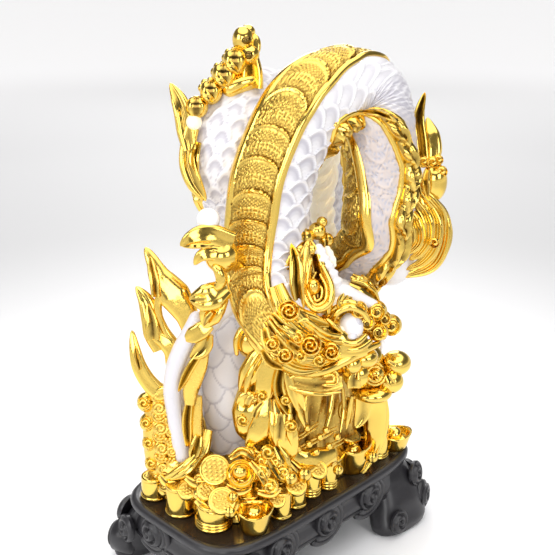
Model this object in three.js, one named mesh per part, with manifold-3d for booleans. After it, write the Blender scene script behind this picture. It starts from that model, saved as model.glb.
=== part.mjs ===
// A dragon statue: a white and gold dragon that loops up out of a heap of treasure,
// cast in one with the heap, standing on a black scroll-footed plinth.
// Millimetres, +Z up. Origin in the middle of the footprint, on the table.
// +X runs along the plinth's long side, -Y is the side the dragon's head is on.

import * as THREE from "three";
import { mergeVertices } from "three/addons/utils/BufferGeometryUtils.js";
import Module from "manifold-3d";

const wasm = await Module();
wasm.setup();

// Driving dimensions

const PLINTH = {
  length: 283,
  width: 165,
  height: 76,
  apronBottom: 38,
  footSpread: 14,
};
const SEAM = 0.3;
const JOIN_TOLERANCE = 0.45;
const HEAP = { insetX: 17, insetY: 5, rimHeight: 14, domeHeight: 38 };
const SCUTE_PITCH = 25;
const REAR_CREST_PITCH = 30;
const LOOP_SIDE = new THREE.Vector3(-0.664, -0.664, 0.342);
const PEARL = { x: -80, y: 0, z: 351, radius: 10 };

// The loop of the body, from the neck inside the head, up, over and down behind the head.
// Each row: x, y, z, radius, and how far the belly is turned from LOOP_SIDE towards the
// outside of the loop, in degrees. The body twists half round just past the top.
const LOOP = [
  [0, -50, 238, 26, 39],
  [-26, -44, 250, 31, 39],
  [-31, -28, 268, 34, 39],
  [-25, -14, 286, 36, 39],
  [-19, -6, 307, 37, 39],
  [-13, -3, 337, 37.5, 39],
  [-8, -3, 369, 37.5, 40],
  [4, -7, 403, 37, 44],
  [20, -12, 430, 37, 52],
  [40, -17, 444, 36, 60],
  [64, -24, 450, 35, 72],
  [80, -30, 447, 34.5, 100],
  [89, -37, 436, 34, 140],
  [90, -43, 418, 33.5, 190],
  [90, -47, 400, 33, 240],
  [90, -50, 378, 33, 285],
  [88, -52, 355, 33, 298],
  [83, -53, 332, 33, 298],
  [84, -50, 308, 32, 298],
  [81, -36, 288, 30, 298],
  [78, -16, 266, 28, 298],
  [83, 4, 236, 27, 298],
  [97, 18, 190, 27, 298],
  [108, 24, 140, 27, 298],
  [108, 24, 96, 27, 298],
];

// The rear body: out of the heap on the left, up behind the loop, over and down again.
// Each row: x, y, z, radius. Its crest looks outwards, away from REAR_AXIS.
const REAR = [
  [-33, 22, 90, 30],
  [-37, 22, 135, 30],
  [-39, 22, 173, 30],
  [-31, 24, 205, 30],
  [-14, 28, 232, 29],
  [4, 34, 256, 28],
  [11, 38, 284, 28],
  [4, 42, 316, 30],
  [-8, 44, 355, 32],
  [-17, 45, 385, 33],
  [-12, 45, 412, 32],
  [4, 46, 430, 31],
  [30, 48, 434, 29],
  [62, 50, 422, 28],
  [90, 50, 394, 28],
  [105, 50, 356, 28],
  [108, 48, 306, 27],
  [104, 44, 256, 26],
  [92, 42, 200, 25],
  [80, 42, 150, 24],
  [74, 42, 96, 24],
];
const REAR_AXIS = new THREE.Vector3(45, 50, 300);

const GOLD = { color: 0xe8b93a, roughness: 0.16, metalness: 1 };
const BLACK = { color: 0x2b2a2d, roughness: 0.42, metalness: 0 };
const WHITE = { color: 0xf4f1ee, roughness: 0.25, metalness: 0 };

// Small tools for shapes

const at = (x, y, z) => new THREE.Vector3(x, y, z);
const rad = THREE.MathUtils.degToRad;
const mix = THREE.MathUtils.lerp;

/** A closed geometry as a solid, its shared vertices merged and its faces outwards. */
function solidOf(geometry) {
  const bare = (geometry.index ? geometry.toNonIndexed() : geometry).clone();
  for (const name of Object.keys(bare.attributes)) {
    if (name !== "position") bare.deleteAttribute(name);
  }
  const merged = mergeVertices(bare, 1e-3);
  const corners = merged.attributes.position;
  const index = merged.index.array;
  const triangles = [];
  let volume = 0;
  const a = at(0, 0, 0);
  const b = at(0, 0, 0);
  const c = at(0, 0, 0);
  for (let i = 0; i < index.length; i += 3) {
    const [p, q, r] = [index[i], index[i + 1], index[i + 2]];
    if (p === q || q === r || r === p) continue;
    triangles.push([p, q, r]);
    a.fromBufferAttribute(corners, p);
    b.fromBufferAttribute(corners, q);
    c.fromBufferAttribute(corners, r);
    volume += a.dot(b.cross(c));
  }
  const order = volume < 0 ? (t) => [t[0], t[2], t[1]] : (t) => t;
  return new wasm.Manifold(
    new wasm.Mesh({
      numProp: 3,
      vertProperties: new Float32Array(corners.array),
      triVerts: new Uint32Array(triangles.flatMap(order)),
    }),
  );
}

/** Rings of equal length skinned into a closed body; each end closes on its own tip. */
function skin(rings, firstTip, lastTip) {
  const count = rings[0].length;
  const points = [];
  const tri = (p, q, r) => points.push(p, q, r);
  for (let i = 0; i + 1 < rings.length; i++) {
    for (let j = 0; j < count; j++) {
      const k = (j + 1) % count;
      tri(rings[i][j], rings[i][k], rings[i + 1][k]);
      tri(rings[i][j], rings[i + 1][k], rings[i + 1][j]);
    }
  }
  const last = rings[rings.length - 1];
  for (let j = 0; j < count; j++) {
    const k = (j + 1) % count;
    tri(firstTip, rings[0][k], rings[0][j]);
    tri(lastTip, last[j], last[k]);
  }
  return solidOf(new THREE.BufferGeometry().setFromPoints(points));
}

const middle = (ring) =>
  ring.reduce((sum, p) => sum.add(p), at(0, 0, 0)).divideScalar(ring.length);

/** Reads a row of numbers evenly along its length, joined by straight lines. */
function along(row, t) {
  const place = THREE.MathUtils.clamp(t, 0, 1) * (row.length - 1);
  const i = Math.min(Math.floor(place), row.length - 2);
  return mix(row[i], row[i + 1], place - i);
}

/** A flat, pointed leaf, flame or claw along a curved line. */
function leaf(points, width, thickness, face = at(0, -1, 0), steps = 5, widths = [0.7, 1, 1, 0.6]) {
  const line = new THREE.CatmullRomCurve3(points.map((p) => at(...p)));
  const rings = [];
  for (let i = 0; i < steps; i++) {
    const t = i / steps;
    const p = line.getPointAt(t);
    const ahead = line.getTangentAt(t);
    const side = at(0, 0, 0).crossVectors(ahead, face).normalize();
    const out = at(0, 0, 0).crossVectors(side, ahead).normalize();
    const w = (width / 2) * along(widths, t);
    const h = (thickness / 2) * along(widths, t);
    rings.push([
      p.clone().addScaledVector(side, w),
      p.clone().addScaledVector(out, h),
      p.clone().addScaledVector(side, -w),
      p.clone().addScaledVector(out, -h),
    ]);
  }
  return skin(rings, middle(rings[0]), line.getPointAt(1));
}

/** A round limb or rod along a curved line, with its own radius at each point. */
function limb(rows, sides = 6, steps = 1) {
  const line = new THREE.CatmullRomCurve3(rows.map(([x, y, z]) => at(x, y, z)));
  const radii = rows.map((row) => row[3]);
  const total = (rows.length - 1) * steps;
  const frames = line.computeFrenetFrames(total, false);
  const rings = [];
  for (let i = 0; i <= total; i++) {
    const t = i / total;
    const p = line.getPoint(t);
    const r = along(radii, t);
    const ring = [];
    for (let j = 0; j < sides; j++) {
      const turn = (j / sides) * Math.PI * 2;
      ring.push(
        p
          .clone()
          .addScaledVector(frames.normals[i], Math.cos(turn) * r)
          .addScaledVector(frames.binormals[i], Math.sin(turn) * r),
      );
    }
    rings.push(ring);
  }
  return skin(rings, middle(rings[0]), middle(rings[total]));
}

/** A ball, or an egg where the three radii differ. */
function ball(x, y, z, r, sides = 6, stretch = [1, 1, 1]) {
  const shape = new THREE.SphereGeometry(r * (1 + 0.4 / sides), sides, Math.round(sides * 0.67));
  shape.scale(...stretch);
  shape.rotateX(Math.PI / 2);
  shape.translate(x, y, z);
  return solidOf(shape);
}

/** A disc or short round bar, its axis turned from +Z by tilts about X and Y. */
function disc(x, y, z, r, h, tiltX = 0, tiltY = 0, sides = 10) {
  const shape = new THREE.CylinderGeometry(r, r, h, sides);
  shape.rotateX(Math.PI / 2);
  shape.rotateX(rad(tiltX));
  shape.rotateY(rad(tiltY));
  shape.translate(x, y, z);
  return solidOf(shape);
}

function join(solids) {
  return wasm.Manifold.union(solids);
}

/**
 * Joining many shapes leaves more corners than the form needs. This moves a corner onto a
 * neighbour wherever the faces that met there end up less than the tolerance from their planes.
 */
function thinned(solid, tolerance) {
  const { vertProperties, triVerts } = solid.getMesh();
  const corners = [];
  for (let i = 0; i < vertProperties.length; i += 3) corners.push(at(...vertProperties.slice(i, i + 3)));
  const faces = [];
  for (let i = 0; i < triVerts.length; i += 3) faces.push([...triVerts.slice(i, i + 3)]);
  const around = corners.map(() => new Set());
  faces.forEach((face, f) => face.forEach((v) => around[v].add(f)));
  const planeOf = ([a, b, c]) => new THREE.Plane().setFromCoplanarPoints(corners[a], corners[b], corners[c]);
  const planes = corners.map((_, v) => [...around[v]].map((f) => planeOf(faces[f])));
  const neighbours = (v) => new Set([...around[v]].flatMap((f) => faces[f]).filter((w) => w !== v));

  const error = (from, to) => Math.max(...planes[from].map((plane) => Math.abs(plane.distanceToPoint(corners[to]))));

  const staysWhole = (from, to) => {
    const shared = [...neighbours(from)].filter((v) => neighbours(to).has(v));
    if (shared.length !== 2) return false;
    return [...around[from]].every((f) => {
      if (faces[f].includes(to)) return true;
      const moved = faces[f].map((v) => (v === from ? to : v));
      const shape = new THREE.Triangle(...moved.map((v) => corners[v]));
      const longest = Math.max(...[0, 1, 2].map((k) => corners[moved[k]].distanceTo(corners[moved[(k + 1) % 3]])));
      if (shape.getArea() < 0.03 * longest ** 2) return false;
      return planeOf(moved).normal.dot(planeOf(faces[f]).normal) > 0.5;
    });
  };

  for (const limit of [0.1 * tolerance, 0.4 * tolerance, tolerance, tolerance]) {
    for (let from = 0; from < corners.length; from++) {
      if (!around[from].size) continue;
      const choices = [...neighbours(from)].map((to) => ({ to, cost: error(from, to) }));
      choices.sort((a, b) => a.cost - b.cost);
      const choice = choices.find(({ to, cost }) => cost < limit && staysWhole(from, to));
      if (!choice) continue;
      for (const f of around[from]) {
        if (faces[f].includes(choice.to)) {
          for (const v of faces[f]) if (v !== from) around[v].delete(f);
          faces[f] = null;
        } else {
          faces[f] = faces[f].map((v) => (v === from ? choice.to : v));
          around[choice.to].add(f);
        }
      }
      planes[choice.to].push(...planes[from]);
      around[from].clear();
    }
  }
  const points = faces.filter(Boolean).flatMap((face) => face.map((v) => corners[v]));
  return solidOf(new THREE.BufferGeometry().setFromPoints(points));
}

function meshOf(name, solid, look) {
  const { vertProperties, triVerts } = solid.getMesh();
  const geometry = new THREE.BufferGeometry();
  geometry.setAttribute("position", new THREE.BufferAttribute(new Float32Array(vertProperties), 3));
  geometry.setIndex(new THREE.BufferAttribute(new Uint32Array(triVerts), 1));
  geometry.computeVertexNormals();
  const mesh = new THREE.Mesh(geometry, new THREE.MeshStandardMaterial(look));
  mesh.name = name;
  return mesh;
}

// The plinth

/** A rounded rectangle, the plinth's top grown by a margin, as points at one height. */
function plan(margin, z, wave = 0) {
  const count = 28;
  const halfX = PLINTH.length / 2 + margin;
  const halfY = PLINTH.width / 2 + margin;
  const points = [];
  for (let i = 0; i < count; i++) {
    const turn = ((i + 0.5) / count) * Math.PI * 2;
    const power = 0.42;
    const cos = Math.cos(turn);
    const sin = Math.sin(turn);
    const ripple = 1 + wave * Math.cos(turn * 8);
    points.push(
      at(
        halfX * Math.sign(cos) * Math.abs(cos) ** power * ripple,
        halfY * Math.sign(sin) * Math.abs(sin) ** power * ripple,
        z,
      ),
    );
  }
  return points;
}

function plinth() {
  const top = PLINTH.height;
  const low = PLINTH.apronBottom;
  const rings = [
    plan(-8, low, 0.006),
    plan(0, low + 10, 0.008),
    plan(-6, top - 14),
    plan(0, top - 8),
    plan(-1, top - 2),
    plan(-4, top),
  ];
  const pieces = [skin(rings, at(0, 0, low), at(0, 0, top))];
  const spread = PLINTH.footSpread;
  for (const sx of [-1, 1]) {
    for (const sy of [-1, 1]) {
      pieces.push(foot(sx, sy, spread));
    }
  }
  for (const sy of [-1, 1]) {
    for (const x of [-72, -10, 52]) {
      pieces.push(volute(x * -sy, sy * (PLINTH.width / 2 - 4), 58, 13, 90));
    }
  }
  for (const sx of [-1, 1]) {
    pieces.push(sideVolute(sx * (PLINTH.length / 2 - 5), sx * -24, 58, 13));
  }
  return join(pieces);
}

/** A scroll rolled on the apron of a long side, hanging as a lobe below it. */
function volute(x, y, z, r) {
  return disc(x, y, z, r, 14, 90, 0);
}

/** The same scroll on a short side. */
function sideVolute(x, y, z, r) {
  return disc(x, y, z, r, 14, 0, 90);
}

/** A corner foot: a lump that leans out from the apron, with a scroll on both faces. */
function foot(sx, sy, spread) {
  const x = sx * (PLINTH.length / 2 - 38);
  const y = sy * (PLINTH.width / 2 - 20);
  const sides = 8;
  const ring = (cx, cy, z, hx, hy) => {
    const points = [];
    for (let i = 0; i < sides; i++) {
      const turn = ((i + 0.5) / sides) * Math.PI * 2;
      points.push(at(cx + hx * Math.cos(turn), cy + hy * Math.sin(turn), z));
    }
    return points;
  };
  const rings = [
    ring(x, y + sy * (spread + 2), 0, 33, 16),
    ring(x, y + sy * (spread + 2), 10, 38, 20),
    ring(x + sx * 4, y + sy * spread * 0.6, 28, 36, 20),
    ring(x + sx * 4, y, 46, 30, 18),
    ring(x, y - sy * 4, 62, 22, 14),
  ];
  const body = skin(rings, middle(rings[0]), middle(rings[4]));
  return join([
    body,
    disc(x - sx * 20, y + sy * (spread + 8), 17, 15, 22, 90, 0),
    disc(x + sx * 27, y + sy * spread, 22, 16, 26, 90, 24 * sx),
  ]);
}

// The dragon's body

/** A spline through rows of x, y, z and more numbers, read evenly along its length. */
function route(rows) {
  const line = new THREE.CatmullRomCurve3(rows.map(([x, y, z]) => at(x, y, z)), false, "centripetal");
  line.arcLengthDivisions = 600;
  const read = (column, t) => {
    const s = line.getUtoTmapping(t);
    return along(rows.map((row) => row[column]), s);
  };
  return { line, length: line.getLength(), read };
}

/** Where the body's surface is: t along it, and an angle round it from the way it faces. */
function bodyFrame(path, t, facing) {
  const p = path.line.getPointAt(t);
  const ahead = path.line.getTangentAt(t);
  const out = facing(p, ahead, t);
  out.addScaledVector(ahead, -out.dot(ahead)).normalize();
  const across = at(0, 0, 0).crossVectors(ahead, out).normalize();
  const r = path.read(3, t);
  const point = (degrees, reach = 1) =>
    p
      .clone()
      .addScaledVector(out, Math.cos(rad(degrees)) * r * reach)
      .addScaledVector(across, Math.sin(rad(degrees)) * r * reach);
  return { p, ahead, out, across, r, point };
}

const loop = route(LOOP);
const rear = route(REAR);

/** The way the loop's belly faces. */
function bellySide(p, ahead, t) {
  const turn = rad(loop.read(4, t));
  const side = LOOP_SIDE.clone().addScaledVector(ahead, -LOOP_SIDE.dot(ahead)).normalize();
  const outer = at(0, 0, 0).crossVectors(side, ahead).normalize();
  return side.multiplyScalar(Math.cos(turn)).addScaledVector(outer, Math.sin(turn));
}

/** The way the rear body's crest faces: outwards, in the plane of its own loop. */
function crestSide(p) {
  return at(p.x - REAR_AXIS.x, (p.y - REAR_AXIS.y) * 0.2, (p.z - REAR_AXIS.z) * 0.6);
}

/** A row of angles round one side of a body, and the same ones mirrored on the other side. */
const bothFlanks = (angles) => [...angles, ...angles.filter((a) => a % 180).reverse().map((a) => -a)];

/**
 * The main loop: a round body with a flat belly band of overlapping scutes between two rails,
 * and a crest of petals down its back, one to each scute.
 */
function loopBody() {
  const [band, rail, flank] = [36, 42, 48];
  const angles = bothFlanks([band, rail, flank, 92, 136, 166, 180]);
  const reach = (degrees, high) => {
    const a = Math.abs(degrees);
    if (a === band) return high ? 1.02 : 0.92;
    if (a === rail) return 1.04;
    if (a === 180) return high ? 1 : 1.32;
    return 1;
  };
  const count = Math.round(loop.length / SCUTE_PITCH);
  const rings = [];
  for (let i = 0; i <= count; i++) {
    for (const [part, high] of [[0, true], [0.84, false]]) {
      const frame = bodyFrame(loop, (i + part) / (count + 1), bellySide);
      rings.push(angles.map((a) => frame.point(a, reach(a, high))));
    }
  }
  return skin(rings, middle(rings[0]), middle(rings[rings.length - 1]));
}

/** The rear body, with a crest along its outer side. */
function rearBody() {
  const angles = bothFlanks([0, 16, 60, 105, 150]);
  const count = Math.round(rear.length / REAR_CREST_PITCH) * 2;
  const rings = [];
  for (let i = 0; i <= count; i++) {
    const frame = bodyFrame(rear, i / count, crestSide);
    rings.push(angles.map((a) => frame.point(a, a === 0 && i % 2 ? 1.4 : 1)));
  }
  return skin(rings, middle(rings[0]), middle(rings[rings.length - 1]));
}

// The head

// The head looks along +X; its mirror plane is upright, at this Y.
const HEAD_MIDDLE = -50;
const mirrorY = (y) => 2 * HEAD_MIDDLE - y;

/** A feature of the head's near side and its twin on the far side. */
function bothSides(make) {
  return [make((y) => y), make(mirrorY)].flat();
}

function head() {
  const skull = ball(8, HEAD_MIDDLE, 242, 40, 9, [1.05, 0.84, 0.66]);
  const snout = limb([
    [0, HEAD_MIDDLE, 250, 28],
    [30, HEAD_MIDDLE, 250, 25],
    [58, HEAD_MIDDLE, 242, 19],
    [92, HEAD_MIDDLE, 235, 14],
  ], 8);
  const forehead = limb([
    [6, HEAD_MIDDLE, 278, 13],
    [34, HEAD_MIDDLE, 272, 13],
    [62, HEAD_MIDDLE, 256, 9],
  ]);
  const lowerJaw = limb([
    [-26, HEAD_MIDDLE, 212, 24],
    [4, HEAD_MIDDLE, 200, 18],
    [54, HEAD_MIDDLE, 200, 8],
  ], 8);
  return [skull, snout, forehead, lowerJaw, ...bothSides(headSide)];
}

/** The lip, eye, brow, nostril curls, ear, tuft, horn, mane scrolls, teeth and beard of one side. */
function headSide(y) {
  const outward = at(0, y(-1) < HEAD_MIDDLE ? 1 : -1, 0);
  return [
    limb([[-38, y(-62), 218, 6], [-12, y(-76), 217, 8], [22, y(-81), 223, 8],
      [58, y(-74), 229, 7], [90, y(-60), 226, 6]]),
    ball(21, y(-76), 246, 9),
    leaf([[0, y(-72), 242], [20, y(-80), 262], [42, y(-74), 256]], 11, 9, at(0, 0, 1), 3),
    ball(36, y(-68), 264, 8),
    ball(58, y(-66), 252, 8),
    ball(80, y(-62), 226, 9),
    leaf([[2, y(-56), 256], [-7, y(-62), 284], [4, y(-60), 318]], 32, 12, outward, 4),
    leaf([[-22, y(-56), 262], [-27, y(-58), 296], [-24, y(-54), 332]], 16, 9, outward, 3),
    limb([[13, y(-58), 280, 9], [9, y(-58), 306, 7], [0, y(-54), 336, 4]]),
    disc(-34, y(-58), 262, 11, 16, 90, 0, 8),
    disc(-28, y(-70), 238, 11, 14, 90, 0, 8),
    leaf([[46, y(-68), 228], [47, y(-69), 219], [48, y(-68), 206]], 8, 7, outward, 2),
    leaf([[-30, y(-58), 208], [-34, y(-64), 190], [-22, y(-66), 170]], 15, 9, outward, 3),
    leaf([[-6, y(-58), 196], [-8, y(-62), 182], [6, y(-64), 166]], 15, 9, outward, 3),
  ];
}

// The raised claw on the left, its flames and the pearl

function leftLimb() {
  const side = at(-1, -1, 0);
  return [
    limb([[-52, 34, 108, 22], [-84, 42, 132, 17], [-88, 44, 168, 15], [-96, 40, 198, 14],
      [-90, 34, 228, 13], [-81, 22, 258, 12], [-77, 10, 290, 12], [-76, 6, 312, 13]], 7),
    ball(-76, 6, 317, 15, 8),
    limb([[-76, 6, 316, 9], [-58, 4, 306, 9], [-36, 6, 300, 9]]),
    leaf([[-78, 2, 306], [-98, 2, 312], [-105, 6, 334]], 17, 11, side, 4),
    leaf([[-82, 0, 316], [-96, -6, 334], [-88, -4, 354]], 12, 9, side, 3),
    leaf([[-70, 0, 316], [-62, -8, 336], [-72, -8, 356]], 12, 9, side, 3),
    leaf([[-74, 12, 316], [-72, 20, 338], [-79, 12, 358]], 12, 9, side, 3),
    leaf([[-74, 2, 308], [-86, -8, 302], [-94, -4, 286]], 12, 9, side, 3),
    leaf([[-70, 26, 250], [-87, 42, 270], [-100, 56, 292], [-101, 62, 318]], 26, 10, side, 5),
    leaf([[-84, 34, 226], [-98, 48, 244], [-110, 58, 262], [-112, 64, 284]], 26, 10, side, 5),
    leaf([[-90, 40, 176], [-112, 50, 188], [-121, 58, 216], [-119, 62, 244]], 26, 10, side, 5),
  ];
}

/** A column of ridged balls at the left end of the heap. */
function ballStack() {
  const heights = [106, 128, 150, 170];
  return [
    limb([[-98, 48, 88, 17], [-100, 50, 172, 12]], 6),
    ...heights.flatMap((z, i) => [
      ball(-112 - 4 * Math.sin(i), 56, z, 11),
      ball(-97, 42, z + 4, 11),
    ]),
  ];
}

// The crest of the rear body, at the upper left

function rearTopCrest() {
  const side = at(-0.7, -0.7, 0);
  return [
    leaf([[-36, 46, 344], [-56, 50, 384], [-60, 54, 410], [-53, 54, 432], [-67, 58, 459]],
      22, 11, side, 6, [0.4, 1, 1, 0.8, 0.5]),
    leaf([[-42, 50, 396], [-60, 54, 408], [-72, 58, 430]], 14, 9, side, 3),
    ball(-48, 40, 432, 11),
    ball(-37, 40, 448, 11),
    ball(-21, 40, 461, 11),
    ball(-13, 42, 475, 9),
    limb([[0, 40, 452, 13], [4, 40, 480, 10]]),
    ball(4, 40, 486, 9),
    leaf([[3, 42, 474], [8, 42, 490], [6, 42, 504]], 12, 10, side, 3),
  ];
}

// The gold tuft and thigh at the right

function rightTuft() {
  const side = at(-0.7, -0.7, 0);
  return [
    ball(102, -56, 285, 25, 8, [1, 0.9, 1]),
    ball(74, -60, 264, 10),
    leaf([[104, -60, 282], [126, -76, 270], [139, -87, 292], [138, -87, 326], [133, -81, 351]],
      18, 12, side, 6),
    leaf([[104, -60, 300], [124, -72, 302], [132, -80, 326], [139, -86, 356]], 17, 11, side, 5),
    leaf([[104, -58, 318], [120, -66, 335], [128, -70, 358], [132, -74, 382]], 18, 11, side, 4),
    leaf([[108, -58, 330], [124, -66, 372], [127, -70, 410], [121, -70, 446]], 18, 11, side, 5),
    ball(134, -79, 382, 12),
    ball(131, -74, 405, 9),
    limb([[114, -60, 340, 10], [134, -74, 374, 9]]),
  ];
}

// Leaves and folds between the column and the head

function frontLeaves() {
  const front = at(-0.6, -0.8, 0);
  return [
    leaf([[-52, -2, 204], [-50, -14, 226], [-43, -14, 252]], 27, 16, front, 4),
    leaf([[-58, -2, 174], [-52, -18, 204], [-32, -22, 226]], 18, 11, front, 4),
    leaf([[-49, -24, 120], [-42, -34, 172], [-20, -34, 216]], 26, 14, front, 4),
    leaf([[-30, -36, 112], [-26, -44, 168], [-12, -42, 214]], 22, 14, front, 4),
    leaf([[-62, -16, 104], [-60, -24, 144], [-50, -12, 188]], 26, 14, front, 4),
  ];
}

/** The fluted rock under the head, like hanging folds. */
function flutedRock() {
  const flutes = 11;
  const ring = (cx, cy, z, hx, hy) => {
    const points = [];
    for (let i = 0; i < flutes * 2; i++) {
      const turn = (i / (flutes * 2)) * Math.PI * 2;
      const reach = i % 2 ? 0.88 : 1;
      points.push(at(cx + hx * reach * Math.cos(turn), cy + hy * reach * Math.sin(turn), z));
    }
    return points;
  };
  const rings = [
    ring(30, -14, 88, 74, 44),
    ring(28, -16, 130, 62, 36),
    ring(26, -20, 170, 52, 30),
    ring(24, -26, 196, 40, 26),
  ];
  return skin(rings, at(30, -14, 88), at(24, -26, 200));
}

/** The curved sceptre at the right, its handle down and a cloud of lobes at its head. */
function sceptre() {
  return [
    limb([[84, -34, 118, 24], [88, -44, 160, 18], [70, -46, 186, 14]]),
    leaf([[98, -50, 172], [115, -58, 140], [106, -66, 110], [74, -74, 96], [38, -80, 90]],
      24, 13, at(-0.3, -0.9, 0.3), 6, [0.8, 1, 1, 0.9, 0.7]),
    ball(106, -56, 174, 14, 8),
    ball(79, -66, 174, 13, 8),
    ball(50, -66, 182, 12),
    ball(103, -62, 152, 12),
    ball(60, -68, 160, 11),
    ball(46, -58, 198, 10),
  ];
}

// The heap of treasure

/** The heap's body: stacks of coins side by side round its rim, and a low dome inside them. */
function rim(foot) {
  const stacks = 26;
  const coin = 12.5;
  const arc = 3;
  const middleX = PLINTH.length / 2 - HEAP.insetX - coin;
  const middleY = PLINTH.width / 2 - HEAP.insetY - coin;
  const spot = (turn, margin) => {
    const [c, n] = [Math.cos(turn), Math.sin(turn)];
    return [
      (middleX + margin) * Math.sign(c) * Math.abs(c) ** 0.5,
      (middleY + margin) * Math.sign(n) * Math.abs(n) ** 0.5,
    ];
  };
  const level = (height, margin, bulge) => {
    const ring = [];
    for (let i = 0; i < stacks * arc; i++) {
      const stack = Math.floor(i / arc);
      const across = ((i % arc) + 0.5) / arc;
      const [x, y] = spot(((i + 0.5) / (stacks * arc)) * Math.PI * 2, margin + bulge * Math.sin(across * Math.PI));
      ring.push(at(x, y, foot + height(stack)));
    }
    return ring;
  };
  const tall = (stack) => HEAP.rimHeight + 6 + 5 * Math.sin(stack * 2.4);
  const rings = [
    level(() => 0, 1, coin),
    level(tall, 1, coin),
    level(tall, -coin, -4),
    level(() => HEAP.domeHeight, -38, 0),
  ];
  return skin(rings, at(0, 0, foot), at(0, 0, foot + HEAP.domeHeight + 3));
}

/** A boat-shaped ingot: a cup with two raised ends and a ball in its hollow. */
function ingot(x, y, z, r, h, turn = 0) {
  const profile = [
    [0, 0], [r * 0.6, 0], [r, h], [r * 0.8, h], [r * 0.5, h * 0.7], [0, h * 0.7],
  ].map(([px, py]) => new THREE.Vector2(px, py));
  const cup = new THREE.LatheGeometry(profile, 8);
  const spots = cup.attributes.position;
  for (let i = 0; i < spots.count; i++) {
    const lift = (spots.getX(i) / r) ** 2 * (spots.getY(i) / h) ** 2 * h * 0.3;
    spots.setY(i, spots.getY(i) + lift);
    spots.setZ(i, spots.getZ(i) * 0.86);
  }
  cup.rotateX(Math.PI / 2);
  cup.rotateZ(rad(turn));
  cup.translate(x, y, z);
  return join([solidOf(cup), ball(x, y, z + h * 0.76, r * 0.46)]);
}

function heap() {
  const foot = PLINTH.height + SEAM;
  const solids = [rim(foot)];

  // Ingots: x, y, height of the foot above the plinth, radius, height, turn.
  const ingots = [
    [-92, -60, 0, 21, 24, 40],
    [-76, -38, 22, 16, 18, 20],
    [42, -64, 12, 17, 19, -10],
    [106, -52, 4, 20, 22, 60],
    [-104, 38, 6, 19, 20, 100],
    [-56, 62, 4, 20, 22, 10],
    [22, 62, 4, 20, 22, -20],
    [96, 58, 4, 20, 22, 30],
    [108, 6, 10, 18, 20, 80],
  ];
  for (const [x, y, up, ...rest] of ingots) solids.push(ingot(x, y, foot + up, ...rest));

  // Loose coins leaning on the heap: x, y, z, radius, tilts.
  const coins = [
    [-86, -8, 110, 14, 40, -40],
    [-104, -36, 102, 13, 20, -20],
    [-97, 22, 112, 14, 10, -30],
    [-24, -60, 103, 12, 45, 0],
    [10, -62, 102, 12, 40, 10],
    [-28, 58, 106, 14, -40, 0],
    [60, 60, 104, 14, -40, 10],
  ];
  for (const [x, y, z, r, tx, ty] of coins) solids.push(disc(x, y, z, r, 6, tx, ty, 9));

  // Loose balls in the gaps: x, y, z, radius.
  const balls = [
    [-62, -58, 102, 9], [-110, 6, 100, 9], [16, -56, 112, 8], [70, -66, 94, 9],
    [-84, 58, 100, 10], [60, 40, 116, 10],
  ];
  for (const row of balls) solids.push(ball(...row));
  return solids;
}

// Everything put together

const figure = join([
  loopBody(),
  rearBody(),
  ...head(),
  ...leftLimb(),
  ...ballStack(),
  ...rearTopCrest(),
  ...rightTuft(),
  ...frontLeaves(),
  flutedRock(),
  ...sceptre(),
  ...heap(),
]);

/** Room for the pearl in the claw, and nothing left that floats or is sealed inside. */
function finished(solid) {
  const room = ball(PEARL.x, PEARL.y, PEARL.z, PEARL.radius + SEAM, 12);
  const parts = solid.subtract(room).decompose();
  parts.sort((a, b) => b.volume() - a.volume());
  return thinned(parts[0], JOIN_TOLERANCE);
}

const statue = new THREE.Group();
statue.add(meshOf("plinth", thinned(plinth(), JOIN_TOLERANCE), BLACK));
statue.add(meshOf("dragon_and_treasure", finished(figure), GOLD));
statue.add(meshOf("pearl", ball(PEARL.x, PEARL.y, PEARL.z, PEARL.radius, 12), WHITE));

export default statue;
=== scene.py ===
import math

import bpy
import numpy as np
from bpy.props import FloatProperty, FloatVectorProperty, IntProperty, PointerProperty
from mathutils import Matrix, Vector


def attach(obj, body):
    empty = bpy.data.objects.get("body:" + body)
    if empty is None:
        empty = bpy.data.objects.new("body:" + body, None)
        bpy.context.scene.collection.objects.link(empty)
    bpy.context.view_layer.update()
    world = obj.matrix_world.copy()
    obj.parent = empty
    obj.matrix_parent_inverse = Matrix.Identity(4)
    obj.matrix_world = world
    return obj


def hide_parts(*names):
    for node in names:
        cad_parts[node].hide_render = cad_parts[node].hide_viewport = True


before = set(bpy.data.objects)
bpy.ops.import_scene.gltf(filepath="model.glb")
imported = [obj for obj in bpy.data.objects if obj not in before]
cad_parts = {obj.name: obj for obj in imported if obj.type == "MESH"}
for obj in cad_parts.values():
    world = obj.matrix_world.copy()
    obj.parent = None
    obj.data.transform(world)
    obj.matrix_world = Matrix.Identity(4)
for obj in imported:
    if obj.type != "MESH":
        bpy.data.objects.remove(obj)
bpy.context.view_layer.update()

bl_info = {
    "name": "Dragon statue",
    "version": (1, 0, 0),
    "blender": (4, 5, 0),
    "location": "3D View > Sidebar > Dragon",
    "description": "A white and gold dragon rising from a heap of treasure, on a black scrolled plinth",
    "category": "Add Mesh",
}

# The dragon's own lines, in millimetres, the same ones as the solid parts follow.

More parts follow.
